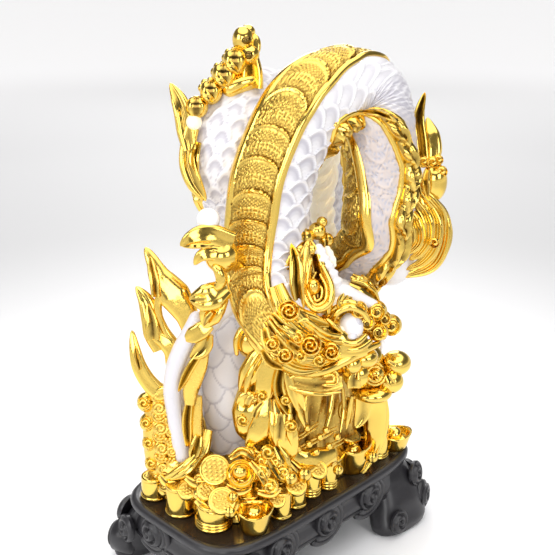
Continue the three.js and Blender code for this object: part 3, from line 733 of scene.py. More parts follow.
def crest(carving, frames, s, angle_of, r_of, pitch, high, thick):
    """A row of folded petals standing along a body, each split down its middle."""
    r = r_of(s)[:, None]
    up = np.array([0, 0.4, 0.78, 0.95, 1.0, 0.97, 0.92, 0.97, 1.0, 0.95, 0.78, 0.4, 0])
    wide = np.array([1.0, 0.92, 0.74, 0.5, 0.28, 0.12, 0, -0.12, -0.28, -0.5, -0.74, -0.92, -1.0])
    along = (s[:, None] / pitch + 0.5 * np.abs(wide)) % 1.0
    wave = np.sin(math.pi * along ** 1.35) ** 0.6
    split = bump(wide, 0.34) * bump(along - 0.5, 0.2)
    reach = r * 0.98 + high * ((0.5 + 0.5 * wave) * up - 0.3 * split)
    middle = angle_of(s)[:, None]
    rings = skin_of(frames, s, middle + np.degrees(thick * (0.75 + 0.25 * wave) * wide / r), reach)
    root = skin_of(frames, s, middle + np.degrees(np.array([[-1, 1]]) * thick / r), r * ROOT * np.ones(2))
    shadow = np.concatenate([np.clip(split + 0.9 * (1 - wave) ** 2, 0, 1), np.zeros((len(s), 2))], axis=1)
    carving.tube(np.concatenate([rings, root], axis=1), GOLD, shadow)


def strip(carving, frames, start, end, angle_of, half, r_of, rise):
    """A smooth raised strip along a body, so many degrees to each side of its line."""
    s = np.arange(start, end, 3.0)
    r = r_of(s)[:, None]
    across = np.linspace(-1, 1, 9)
    middle = angle_of(s)[:, None]
    curve = np.sqrt(np.clip(1 - across ** 2, 0, 1))
    outer = skin_of(frames, s, middle + np.linspace(-half, half, 9), r * 0.985 + rise * curve)
    inner = skin_of(frames, s, middle + np.array([[half, -half]]), r * ROOT * np.ones(2))
    carving.tube(np.concatenate([outer, inner], axis=1))


def edged_crest(carving, frames, start, end, angle_of, r_of, petals, aside):
    """A crest with a smooth strip on each side of it."""
    crest(carving, frames, np.arange(start, end, 1.0), angle_of, r_of, *petals)
    for shift in (-aside, aside):
        strip(carving, frames, start, end, lambda s, shift=shift: angle_of(s) + shift, 6, r_of, 2.6)


def petal_angle(s):
    """Where the loop's petals run, in degrees from its belly."""
    return read_curve(*LOOP_LINE, s)[0][:, 4] - np.interp(s, *PETAL_LINE.T)


def loop_crest():
    carving = Carving()
    edged_crest(carving, loop_frames, 4, LOOP_LENGTH - 4, petal_angle, LOOP_RADIUS, (19.0, 12.0, 8.0), 15)
    return carving


def rear_body():
    """The white rear body: flat cut scales low on the left, small hollow scales above."""
    carving = Carving()
    s = paced((2, 350, 1.4), (350, REAR_LENGTH - 2, 2.0))
    x = np.linspace(-180, 180, 124, endpoint=False)
    a = x[None, :] * math.pi / 180 * 30 + 0 * s[:, None]
    b = s[:, None] + 0 * a
    upper = step(150, 175, b)
    fine, fine_hollow = flank_scales(a, b, 18.85, 9.0, 18.4, 0.09)
    flat, cut = column_scales(a + 9, 2000 - b, 37.7, 13.0, 26.5)
    relief = flat * (1 - upper) + fine * upper
    # Painted shade in the cut lines below and in the small scales' hollows above.
    hollow = np.clip(cut * (1 - upper) + 1.3 * fine_hollow * upper, 0, 1)
    edge = step(15, 20, np.abs(x))[None, :]
    reach = REAR_RADIUS(s)[:, None] * 0.975 + (0.9 + 1.5 * upper) * relief * edge
    # Painted warm shade: faint over the lower scales, stronger in a strip beside the crest.
    warm = 0.06 * (1 - upper) + 0.3 * bump(np.abs(x)[None, :] - 22, 14) * (1 - upper)
    carving.tube(skin_of(rear_frames, s, x, reach), WHITE, hollow * edge, warm)
    return carving


def rear_crest():
    """The rear body's crest, and the cream twisted form that is seen through the loop."""
    carving = Carving()
    cord(carving, (338, 138, -44, 5), (329, 162, -44, 10), (322, 192, -46, 12), (323, 222, -46, 12),
         (330, 252, -42, 8), finish=CREAM, knobs=6, knob=0.1, steps=24)
    cord(carving, (330, 150, -38, 3), (334, 180, -36, 4), (322, 206, -34, 4.5), (332, 236, -34, 4),
         finish=CREAM, knobs=4)
    # The short cream cords across the twist are painted with shade, stronger on every other one.
    for k in range(7):
        cord(carving, (334, 158 + 13 * k, -36, 2.2), (327, 170 + 13 * k, -31, 3.4),
             (316, 178 + 13 * k, -36, 2.4), finish=CREAM, depth=0.12 + 0.1 * (k % 2), sides=14)
    strip(carving, rear_frames, 4, 156, np.zeros_like, 13, REAR_RADIUS, 3.4)
    for start, end in ((150, 338), (445, REAR_LENGTH - 4)):
        edged_crest(carving, rear_frames, start, end, np.zeros_like, REAR_RADIUS, (30.0, 10.0, 7.0), 17)
    return carving


# The head

def face_side(carving):
    """The near side of the head, laid out on the view: tufts, ear, horn, eye, nose curls and lips."""
    fronds(
        carving,
        (13, 9, 0.8, 1, (300, 310, 60), (297, 285, 64), (296, 262, 64), (291, 243, 62)),
        (15, 9, 0.3, 0, (312, 314, 50), (303, 290, 52), (304, 262, 54), (308, 240, 52), dict(steps=34)),
        (31, 12, 1.1, 1, (319, 314, 48), (317, 292, 50), (313, 268, 50), (310, 240, 46),
         dict(widths=(0.75, 1.05, 0.8, 0.45), steps=40, sides=36)),
    )
    for k in range(3):
        near, inset = 58 - 2.6 * k, 4.6 * k
        thick = (3.0, 1.9, 1.5)[k]
        cord(carving, *((across, down, near, thick * share) for across, down, share in (
            (307 + inset, 244 + 3 * inset, 0.7), (303 + inset, 272 + inset, 1),
            (304 + inset, 296 - inset * 0.4, 1), (316, 310 - inset, 1.1), (330 - inset, 302 - inset * 0.4, 1),
            (331 - inset, 286 + inset * 0.3, 1), (322 - inset * 0.5, 264 + 2 * inset, 0.7),
        )), steps=12, sides=14)
    bead(carving, 313, 287, 54, 6.5, (1, 1, 1.2))
    for across, down, near, r, slits in ((304, 238, 40, 9, 1), (317, 231, 36, 8, 2), (311, 250, 44, 6, 0),
                                         (326, 240, 30, 7, 1), (299, 250, 46, 6, 0), (322, 222, 34, 5, 0)):
        bead(carving, across, down, near, r, slits=slits, cut=0.2)
    cord(carving, (317, 244, 44, 4.5), (322, 257, 46, 5.5), (329, 272, 46, 6.5), (337, 290, 44, 8),
         finish=WHITE, knobs=6, knob=0.13, steps=20)
    cord(carving, (326, 246, 36, 3), (331, 258, 38, 4), (334, 268, 38, 3), finish=CREAM, knobs=3)
    cord(carving, (330, 286, 40, 8), (344, 294, 40, 9.5), (360, 300, 34, 7), (378, 305, 28, 3), finish=WHITE)
    bead(carving, 337, 303, 47, 5.5, finish=CREAM)
    for k in range(3):
        frond(carving, 6, 4, (340 + 5 * k, 312 - k, 52 - k), (340 + 5 * k, 302 - k, 54 - k),
              (344 + 4 * k, 293 + 2 * k, 50 - k), dish=0.7, dark=0.8, sides=14)
    # eye: a white ball, a cream bead at its corner, and two white beads painted grey as painted shade
    bead(carving, 351, 327, 40, 12.5, (0.9, 0.9, 1.05), finish=WHITE, sides=40)
    bead(carving, 341, 331, 45, 5, finish=CREAM)
    bead(carving, 352, 336, 48, 3.5, (1.3, 1.3, 0.8), finish=WHITE, dark=0.5)
    bead(carving, 357, 323, 46, 4, (1, 1, 1.4), finish=WHITE, dark=0.8)
    cords(
        carving,
        ((331, 326, 46, 2.2), (336, 314, 52, 2.8), (349, 307, 54, 3.2), (362, 312, 50, 3),
         (369, 322, 44, 2.4)),
        ((333, 332, 48, 2.2), (343, 342, 50, 2.8), (356, 343, 48, 2.8), (367, 334, 40, 2.4)),
        ((326, 318, 44, 2.4), (335, 308, 50, 2.6), (346, 302, 52, 2.8), (358, 304, 50, 2.6)),
        ((327, 338, 46, 2.2), (342, 349, 48, 2.8), (358, 349, 45, 2.8), (372, 340, 34, 2.6)),
        steps=12, sides=14,
    )
    # nose curls, each with a small fully dark ball as painted shade in its hole
    bead(carving, 370, 324, 14, 12, (1, 1, 0.9))
    for across, down, near, r, hand in (
        (358, 310, 43, 9, 1), (376, 311, 27, 10.5, -1), (391, 325, 8, 10.5, -1), (378, 331, 22, 10, 1),
        (366, 322, 37, 8.5, 1), (384, 318, 24, 7, 1),
    ):
        bead(carving, across, down, near - 3, r * 0.98)
        curl(carving, across + 0.5, down + 1, near + r * 0.42, r * 0.78, r * 0.5, 1.5, cut=0.8, hand=hand)
        bead(carving, across + 1, down + 2, near + r * 0.75, r * 0.26, dark=1, sides=14)
    # cheek folds, lips and tooth
    frond(carving, 30, 18, (296, 322, 48), (318, 332, 48), (342, 346, 44), (366, 346, 36), dish=0.1, blunt=1)
    fronds(
        carving,
        (20, 11, 0.25, 0, (276, 286, 72), (284, 306, 76), (300, 326, 72), (322, 340, 62)),
        (22, 11, 0.25, 0, (268, 318, 74), (284, 336, 76), (304, 350, 68), (330, 356, 58)),
        (20, 11, 0.25, 0, (262, 340, 72), (280, 356, 72), (300, 366, 62), (322, 368, 52)),
        (16, 11, 0.25, 0, (284, 300, 76), (296, 314, 72), (314, 322, 62), (330, 326, 56)),
        steps=34, grooves=4, sides=44,
    )
    frond(carving, 12, 6, (266, 322, 80), (276, 338, 80), (290, 348, 76), dish=0.9, dark=1)
    for k in range(3):
        lift = 5 * k
        cord(carving, (296 + 2 * k, 322 + lift, 76 - 2 * k, 1.6), (306 + 2 * k, 320 + lift, 75 - 3 * k, 2.2),
             (316, 327 + lift, 70 - 3 * k, 2.4), (328, 334 + lift, 62 - 2 * k, 2.2),
             (342, 336 + lift, 56 - 2 * k, 1.8), steps=8, sides=12)
    frond(carving, 8, 5, (272, 314, 80), (284, 326, 80), (296, 330, 76), dish=0.9, dark=1)
    fronds(
        carving,
        (10, 6, 0.9, 1, (264, 328, 82), (268, 344, 83), (280, 356, 81), dict(finish=FROSTED)),
        (9, 6, 0.9, 1, (274, 336, 83), (286, 350, 80), (300, 358, 74), dict(finish=FROSTED)),
        (8, 6, 0.9, 1, (262, 350, 81), (270, 362, 80), (284, 369, 74), dict(finish=FROSTED)),
        (7, 6, 0.9, 1, (288, 342, 79), (300, 350, 74), (312, 352, 68), dict(finish=FROSTED)),
        (7, 5, 0.5, 0.6, (282, 318, 56), (302, 326, 58), (322, 338, 56), (340, 350, 52)),
        (7, 5, 0.5, 0.6, (292, 332, 56), (310, 328, 60), (328, 336, 58), (342, 344, 54)),
        (13, 8, 0.9, 1, (324, 322, 58), (332, 330, 58), (340, 336, 54), dict(widths=(0.8, 1, 0.8), blunt=1)),
    )
    cord(carving, (286, 366, 48, 3.4), (300, 372, 50, 4.2), (322, 371, 50, 4.4), (344, 361, 46, 4.4),
         (362, 351, 37, 4), (380, 343, 22, 3), steps=14)
    cord(carving, (300, 358, 46, 4), (322, 361, 46, 5), (344, 354, 44, 5), (366, 345, 38, 4), steps=14)
    frond(carving, 5, 5, (381, 338, 22), (383, 345, 22), (382, 354, 21), dish=0, finish=WHITE)
    # spirals along the cheek
    for across, down, near, r, turns in (
        (289, 311, 78, 9.5, 2.4), (310, 345, 70, 10, 2.6), (331, 352, 60, 9, 2.4), (297, 338, 72, 7.5, 2.0),
        (272, 344, 80, 7, 2.0), (285, 355, 76, 8, 2.0), (303, 320, 68, 6.5, 1.6), (319, 360, 62, 6, 1.4),
        (300, 356, 70, 6, 1.6),
    ):
        curl(carving, across, down, near + 2, r, r * 0.75, turns, cut=0.6, spin=across * 0.1)
    frond(carving, 9, 6, (289, 376, 52), (298, 370, 54), (311, 362, 54), dish=0.9, dark=1)
    # jaw, and a leaf painted dark as painted shade for the dark of the mouth
    frond(carving, 20, 10, (288, 381, 40), (312, 385, 40), (342, 382, 36), dish=0.5, dark=1, blunt=1,
          finish=FROSTED)
    frond(carving, 4, 4, (296, 390, 44), (318, 394, 44), (342, 392, 40), dish=0.1)
    for k in range(2):
        inset = 3.2 * k
        cord(carving, (320 + inset, 373 + inset, 50, 1.5), (336 - inset, 372 + inset, 48, 1.6),
             (337 - inset, 384 - inset, 48, 1.6), (322 + inset, 385 - inset, 50, 1.6), steps=6, sides=10)
    bead(carving, 364, 357, 18, 12, (1.1, 1.1, 0.8))
    bead(carving, 352, 364, 28, 9)


def mirrored(*rows):
    """Rows of x, y, z and more, moved to the other side of the head."""
    return [(x, 2 * HEAD_MIDDLE - y, z, *rest) for x, y, z, *rest in rows]


def far_side(carving):
    """The hidden side of the head, plainer."""
    out, view = (0, 1, 0), (-0.5, 0.8, 0.3)
    limb(carving, mirrored((-38, -62, 218, 6), (-12, -76, 217, 8), (22, -81, 223, 8), (58, -74, 229, 7),
                           (90, -60, 226, 6)))
    limb(carving, mirrored((-34, -64, 226, 3.5), (-10, -78, 226, 4), (22, -84, 232, 4), (56, -77, 238, 4),
                           (86, -62, 234, 3)))
    ball(carving, *mirrored((21, -76, 246, 9.5))[0], finish=WHITE)
    for k in range(3):
        limb(carving, mirrored((6 - 2 * k, -75, 244 - 3 * k, 1.9), (12, -84, 236 - 3 * k, 2.2),
                               (24, -86, 235 - 3 * k, 2.2), (38 + k, -79, 243 - 3 * k, 1.9)))
    for k in range(2):
        limb(carving, mirrored((3 - k, -72, 246 + 4 * k, 2.4), (14, -82, 258 + 4 * k, 2.8),
                               (28, -80, 261 + 4 * k, 2.8), (42, -74, 253 + 4 * k, 2.2)))
    for x, y, z, r in mirrored((58, -66, 252, 8.5), (70, -68, 248, 8.5), (80, -62, 238, 9.5),
                               (66, -72, 238, 8)):
        ball(carving, x, y, z, r)
        volute(carving, (x, y + r * 0.6, z), view, r * 0.7, r * 0.5, 1.4, cut=0.6)
    leaf(carving, mirrored((2, -62, 248), (-7, -66, 282), (4, -62, 312)), 33, 13, out, (0.75, 1.1, 0.75, 0.4),
         0.95, steps=34, sides=28, dark=0.8)
    leaf(carving, mirrored((-22, -57, 252), (-27, -60, 290), (-24, -55, 320)), 17, 10, out,
         (0.8, 1, 0.8, 0.5), 0.8)
    for x, y, z, r in mirrored((-34, -60, 262, 12), (-28, -70, 238, 12.5), (-10, -79, 234, 10),
                               (-40, -58, 240, 9)):
        volute(carving, (x, y, z), view, r, r * 0.62, 3.0, cut=0.34, spin=x)
    for x, z in ((47, 206), (30, 207), (66, 210)):
        leaf(carving, mirrored((x - 1, -68, z + 22), (x, -70, z + 12), (x + 1, -69, z)), 7, 6, out,
             finish=WHITE, dish=0)
    for width, *rows in ((16, (-30, -58, 208), (-34, -64, 190), (-22, -66, 168)),
                         (16, (-6, -58, 196), (-8, -62, 182), (6, -64, 164)),
                         (13, (-40, -60, 228), (-44, -68, 212), (-28, -74, 204))):
        leaf(carving, mirrored(*rows), width, 10, out, dish=0.6)


def head():
    carving = Carving()
    y0 = HEAD_MIDDLE
    ball(carving, 8, y0, 242, 41, (1.05, 0.84, 0.66), sides=40)
    limb(carving, [(0, y0, 246, 27), (30, y0, 244, 25), (58, y0, 236, 19), (94, y0, 230, 14)], sides=28)
    limb(carving, [(0, y0, 262, 20), (34, y0, 262, 17), (66, y0, 250, 12), (88, y0, 242, 8)], finish=WHITE,
         sides=28)
    limb(carving, [(6, y0, 276, 11), (34, y0, 270, 11), (64, y0, 256, 8)], finish=WHITE)
    limb(carving, [(-26, y0, 212, 24), (4, y0, 200, 18), (56, y0, 200, 8)], sides=28)
    face_side(carving)
    far_side(carving)
    return carving


# The claw and the flames on the left

def left_limb():
    carving = Carving()
    side = (-1, -1, 0)
    # The white forearm, painted grey all over as painted shade.
    cord(carving, (199, 312, 54, 6), (191, 330, 48, 7), (182, 348, 40, 8), (175, 368, 32, 8.5),
         (172, 390, 24, 8), (174, 412, 16, 7), (178, 436, 8, 7), (184, 462, -2, 8), finish=WHITE, sides=28,
         steps=14, depth=0.45)
    limb(carving, [(-52, 34, 108, 20), (-70, 40, 132, 15), (-72, 40, 168, 12), (-76, 34, 200, 10),
                   (-73, 24, 230, 9), (-65, 10, 256, 9), (-52, -6, 274, 9)],
         finish=WHITE, sides=24, steps=14, knobs=11, knob=0.06)
    # paw
    bead(carving, 222, 256, 70, 15, slits=2)
    bead(carving, 217, 240, 72, 11)
    cord(carving, (222, 256, 68, 10), (240, 262, 50, 9), (262, 268, 30, 9))
    claw = dict(dish=0.35, grooves=1, steps=30)
    frond(carving, 18, 12, (232, 242, 76), (207, 234, 84), (191, 238, 86), (180, 246, 84),
          widths=(1, 1, 0.85, 0.6), **claw)
    frond(carving, 10, 8, (226, 232, 74), (206, 229, 79), (190, 234, 81), dish=0.2)
    frond(carving, 4.5, 4, (212, 246, 89), (197, 246, 91), (183, 247, 87), dish=0.2, dark=1)
    frond(carving, 14, 11, (232, 260, 74), (213, 253, 81), (201, 256, 83), (194, 265, 80),
          widths=(1, 1, 0.85, 0.6), **claw)
    frond(carving, 8, 7, (230, 250, 76), (214, 248, 82), (204, 251, 84), dish=0.4, dark=0.5)
    cord(carving, (213, 264, 80, 3), (219, 272, 80, 4.5), (221, 282, 78, 5), (214, 290, 76, 3))
    fronds(
        carving,
        (24, 13, 0.3, 0, (226, 288, 70), (210, 297, 76), (189, 299, 74), dict(steps=32)),
        (7, 5, 0.5, 1, (206, 300, 82), (198, 300, 82), (190, 300, 78)),
        (20, 12, 0.45, 0, (222, 296, 68), (212, 312, 68), (204, 328, 62)),
        (5, 5, 0.2, 0.9, (212, 312, 76), (207, 318, 74), (204, 326, 68)),
    )
    # gold sheath down the forearm
    fronds(
        carving,
        (16, 11, 0.3, 0, (210, 324, 58), (199, 332, 56), (184, 340, 50), dict(grooves=1)),
        (15, 10, 0.6, 0.7, (208, 334, 52), (203, 348, 48), (190, 358, 44)),
        (17, 10, 0.1, 0, (204, 344, 44), (198, 366, 38), (191, 388, 30), (190, 404, 24),
         dict(blunt=1, finish=FROSTED, steps=40)),
        (8, 8, 0.7, 0.8, (202, 350, 46), (190, 368, 42), (178, 392, 34)),
        (10, 8, 0.9, 1, (190, 398, 22), (187, 420, 16), (188, 446, 8), dict(blunt=1)),
        (11, 8, 0.1, 0, (198, 396, 18), (197, 424, 12), (200, 452, 6), dict(finish=FROSTED, blunt=1)),
        (12, 8, 0.8, 0.8, (199, 436, 14), (196, 448, 14), (192, 462, 12)),
    )
    # flames, with a gap below each hook
    frond(carving, 29, 14, (190, 330, 36), (186, 314, 37), (175, 296, 38), (160, 277, 38), (153, 262, 38),
          (145, 247, 36), widths=(0.5, 0.8, 1, 0.8, 0.55, 0.5), dish=0.12, steps=48, sides=30)
    frond(carving, 9, 5, (156, 297, 43), (154, 278, 44), (150, 256, 42), widths=(0.9, 1, 0.9, 0.7), dish=0.8,
          dark=1)
    cord(carving, (163, 292, 38, 5), (158, 304, 36, 4), (159, 316, 34, 3.6), (165, 330, 31, 4),
         (176, 346, 28, 5))
    fronds(
        carving,
        (19, 12, 0.3, 0.3, (160, 350, 28), (154, 334, 30), (151, 316, 31), (146, 301, 32), (136, 286, 32),
         dict(widths=(0.7, 1, 1, 0.85, 0.6), steps=44, sides=28)),
        (12, 5, 0.9, 1, (153, 340, 35), (152, 324, 37), (148, 304, 37), dict(widths=(1, 1, 0.8, 0.6))),
        (18, 12, 0.15, 0, (152, 334, 30), (166, 342, 30), (174, 354, 28), (171, 376, 24),
         dict(widths=(0.6, 0.9, 1, 0.9), steps=34)),
        (17, 11, 0.2, 0, (168, 398, 14), (152, 386, 18), (140, 368, 23), (135, 350, 26), (132, 330, 27),
         dict(widths=(1, 0.95, 0.85, 0.7, 0.6), steps=40, sides=28)),
        (5, 4, 0.8, 1, (140, 370, 31), (137, 358, 32), (135, 346, 31), dict(sides=16)),
        (14, 10, 0.3, 0, (176, 392, 20), (166, 392, 20), (150, 398, 12)),
    )
    # the far side of the limb and flames, plainer
    for points, width in (([(-78, 40, 250), (-88, 50, 280), (-96, 60, 306)], 15),
                          ([(-70, 26, 100), (-78, 24, 140), (-84, 28, 176)], 16)):
        leaf(carving, points, width, 10, side, dish=0.4)
    return carving


def ball_stack():
    """A column of lumps embossed with curls, and the tilted dish beside it."""
    carving = Carving()
    cord(carving, (162, 386, 6, 11), (158, 420, -4, 14), (160, 450, -12, 15), (166, 478, -20, 15),
         finish=FROSTED)
    for row in range(4):
        down = 402 + 20 * row
        near = 6 - 5 * row
        shift = 2.5 * row
        bead(carving, 147 + shift, down, near, 9.5, slits=2, slit_axis=UP, cut=0.12)
        curl(carving, 144 + shift, down + 1, near + 7, 6, 4.5, 1.6, cut=0.5)
        for across, dv, r in ((158, -7, 7.5), (168, -1, 6.5), (160, 6, 7.5), (170, 9, 6)):
            curl(carving, across + shift * 0.5, down + dv, near + 9, r, r * 0.8, 2.0, cut=0.2, spin=dv * 0.3,
                 finish=FROSTED)
            for k in range(3):
                bead(carving, across - 4 + 4 * k, down + dv + 8, near + 10, 1.9, sides=10)
    dish = [(3, -6), (12, -5), (15.5, -1.5), (16.5, 0), (15.5, 1.5), (13, 1.0), (11, 0.6), (6, 1.4), (1, 1.6)]
    lathe(carving, seen((176, 458, 2))[0], dish, (-0.75, -0.45, 0.75), sides=44)
    frond(carving, 13, 9, (208, 430, 2), (202, 452, 8), (186, 468, 12), (164, 479, 8),
          widths=(0.7, 1, 1, 0.8), dish=0.25, steps=36)
    frond(carving, 8, 6, (200, 458, 12), (186, 472, 15), (170, 480, 12), dish=0.3)
    return carving


# The crest at the upper left

def top_crest():
    carving = Carving()
    flame = dict(dish=0.6, dark=0.8, steps=40, sides=28)
    frond(carving, 17, 11, (190, 150, 48), (186, 130, 50), (183, 112, 52), (178, 98, 52), (170, 83, 50),
          widths=(0.8, 1, 1, 0.9, 0.6), **flame)
    frond(carving, 16, 10, (192, 128, 50), (188, 146, 48), (188, 164, 46), (194, 182, 44), (206, 201, 40),
          widths=(0.8, 0.9, 1, 1, 0.8), **flame)
    frond(carving, 9, 7, (198, 142, 50), (194, 160, 50), (198, 176, 47), dish=0.9, dark=1)
    bead(carving, 197, 107, 54, 10, slits=3, cut=0.16)
    bead(carving, 194, 122, 52, 7, finish=CREAM)
    for across, down, near, r in ((211, 92, 54, 10), (224, 76, 54, 11), (235, 62, 54, 11)):
        bead(carving, across, down, near, r, (1, 1, 1.1), slits=3, cut=0.16)
        for dx, dy in ((-6, -9), (-9, -4), (0, -11)):
            bead(carving, across + dx, down + dy, near - 2, r * 0.38, sides=14)
        frond(carving, 7, 5, (across + 2, down + 9, near + 6), (across - 4, down + 4, near + 10),
              (across - 8, down - 2, near + 6), dish=0.5, dark=0.4)
    cord(carving, (222, 92, 50, 8), (240, 84, 50, 8), (258, 80, 44, 7))
    frond(carving, 19, 15, (251, 88, 50), (252, 74, 52), (250, 56, 54), widths=(1.15, 1, 0.8), dish=0.7,
          dark=0.6, blunt=1)
    bead(carving, 250, 55, 54, 8.5)
    # A small fully dark ball as painted shade in the pit of this finial.
    bead(carving, 249, 55, 60, 4, dark=1, sides=16)
    bead(carving, 243, 40, 52, 9.5, (1, 1, 1.25))
    # Another small fully dark ball as painted shade in the upper finial's pit.
    bead(carving, 246, 40, 58, 5, (1, 1, 0.8), dark=1, sides=16)
    bead(carving, 248, 32, 50, 6.5)
    frond(carving, 9, 9, (252, 60, 50), (256, 44, 50), (250, 30, 50), dish=0.2)
    leaf(carving, [(2, 42, 478), (6, 42, 490), (4, 42, 503.5)], 12, 10, BACK, dish=0.2)
    return carving


# The gold tuft at the right

def right_tuft():
    carving = Carving()
    ball(carving, 100, -56, 285, 25, (1, 0.9, 1), finish=WHITE)
    bead(carving, 401, 247, -6, 9.5, finish=CREAM)
    for rise in (0, 13, 26):
        leaf(carving, [(112, -66, 300 - rise), (121, -62, 296 - rise), (126, -50, 288 - rise)], 12, 8,
             (0.7, -0.7, 0.1))
    fronds(
        carving,
        (13, 9, 0.5, 0.5, (350, 283, 14), (364, 289, 12), (380, 304, 4)),
        (10, 8, 0.9, 1, (360, 276, 6), (369, 288, 8), (379, 301, 4)),
        (9, 7, 0.3, 0, (352, 276, 8), (358, 280, 10), (368, 282, 8)),
    )
    fronds(
        carving,
        (14, 10, 0.2, 0, (430, 196, -4), (443, 216, -10), (443, 244, -14), (431, 266, -18), (403, 277, -20)),
        (13, 10, 0.2, 0, (424, 198, 0), (436, 222, -3), (434, 246, -6), (422, 262, -10), (406, 270, -12)),
        (13, 10, 0.2, 0, (414, 200, 2), (427, 220, 2), (427, 240, -1), (418, 254, -4), (409, 260, -6)),
        (13, 10, 0.2, 0, (404, 206, 4), (416, 224, 6), (418, 242, 3), (408, 254, 0)),
        (11, 10, 0.2, 0, (438, 206, -8), (447, 232, -14), (441, 254, -18), (424, 273, -22)),
        (12, 10, 0.2, 0, (416, 184, 4), (430, 200, 0), (440, 214, -6), (444, 236, -10)),
        grooves=3, steps=34, sides=32, widths=(0.5, 1, 1, 0.8),
    )
    curl(carving, 434, 243, 2, 5, 4, 1.0, cut=1.2)
    curl(carving, 408, 219, 12, 5, 4, 1.0, cut=1.2)
    frond(carving, 8, 6, (400, 250, 6), (396, 236, 10), (402, 222, 12), dish=0.5, dark=0.3)
    frond(carving, 8, 6, (408, 248, 8), (408, 234, 12), (412, 220, 12), dish=0.5, dark=0.3)
    bead(carving, 434, 182, -4, 13, (0.95, 0.95, 1.45), slits=2, cut=0.2)
    fronds(
        carving,
        (9, 7, 0.9, 1, (418, 166, 8), (414, 178, 12), (421, 196, 10)),
        (8, 6, 0.7, 0.6, (428, 170, 8), (426, 182, 12), (428, 198, 8)),
    )
    for across, down, r in ((423, 162, 5.5), (432, 163, 6), (438, 160, 5), (441, 172, 6)):
        curl(carving, across, down, 4, r, r, 1.2, cut=0.5)
        bead(carving, across, down, 0, r)
    frond(carving, 15, 12, (432, 168, -2), (434, 146, -2), (427, 117, -4), dish=0.2)
    frond(carving, 12, 9, (424, 166, 2), (421, 140, 4), (419, 116, 4), (425, 92, 2),
          widths=(0.9, 1, 0.9, 0.7), dish=0.9, dark=1, steps=34)
    cord(carving, (404, 180, -2, 8), (418, 190, -6, 9), (424, 210, -8, 9), (420, 240, -14, 8))
    return carving


# Leaves, folds and sceptre

def front_leaves():
    """Gold leaves and soft drapery to the right of the rear body's foot."""
    carving = Carving()
    bead(carving, 251, 341, 22, 14, (1, 1, 1.15))
    cord(carving, (237, 356, 26, 2), (236, 340, 30, 2.6), (243, 328, 30, 3), (254, 325, 30, 3),
         (264, 332, 30, 2.8), (267, 346, 28, 2.2))
    fronds(
        carving,
        (12, 8, 0.2, 0, (262, 352, 36), (252, 336, 38), (244, 330, 34)),
        (22, 13, 0.2, 0, (270, 342, 32), (256, 364, 30), (240, 392, 22), dict(grooves=3, steps=40, sides=40)),
        (18, 10, 1.0, 0.9, (264, 358, 32), (255, 380, 31), (249, 402, 26), dict(widths=(0.6, 1, 1, 0.7))),
        (20, 13, 0.15, 0, (276, 342, 36), (267, 374, 30), (262, 412, 24), dict(steps=34)),
        (7, 6, 0.2, 0.6, (254, 396, 34), (250, 398, 33), (246, 408, 28)),
        (12, 9, 1.1, 1, (283, 362, 38), (279, 388, 36), (290, 416, 30), dict(widths=(0.7, 1, 0.9))),
        (9, 8, 0.3, 0.3, (286, 358, 42), (290, 384, 40), (298, 412, 34)),
        (8, 7, 0.3, 0, (294, 372, 40), (298, 392, 38), (304, 410, 30)),
        (38, 24, 0.0, 0, (250, 388, 12), (253, 414, 10), (262, 446, 8),
         dict(widths=(0.6, 1, 1.05, 0.8), steps=34, sides=32)),
        (20, 12, 0.12, 0, (266, 398, 26), (262, 424, 24), (246, 448, 20)),
        (6, 3, 0.9, 1, (263, 402, 31), (257, 409, 31), (253, 418, 30), dict(widths=(0.7, 1, 0.8), blunt=1)),
        (14, 10, 0.3, 0, (240, 404, 22), (246, 398, 26), (258, 400, 28)),
        (30, 18, 0.0, 0, (272, 398, 20), (278, 424, 18), (294, 458, 14),
         dict(widths=(0.7, 1, 1, 0.7), steps=34)),
        (11, 4, 1.0, 1, (281, 414, 33), (280, 428, 33), (279, 441, 30), dict(widths=(0.8, 1, 1), blunt=1)),
        (6, 5, 0.1, 0, (272, 412, 30), (273, 430, 30), (276, 446, 26)),
        (6, 5, 0.1, 0, (290, 414, 30), (289, 430, 30), (292, 446, 26)),
    )
    for across, down, near, r in ((291, 426, 33, 6), (268, 452, 28, 7), (250, 454, 24, 8), (286, 400, 36, 5),
                                  (262, 396, 32, 5), (243, 420, 20, 6)):
        curl(carving, across, down, near, r, r * 0.7, 1.4, cut=0.6)
    fronds(
        carving,
        (10, 8, 0.7, 0.8, (242, 452, 22), (258, 456, 24), (274, 470, 20)),
        (12, 8, 0.6, 0.8, (276, 446, 22), (284, 462, 22), (284, 480, 18)),
    )
    return carving


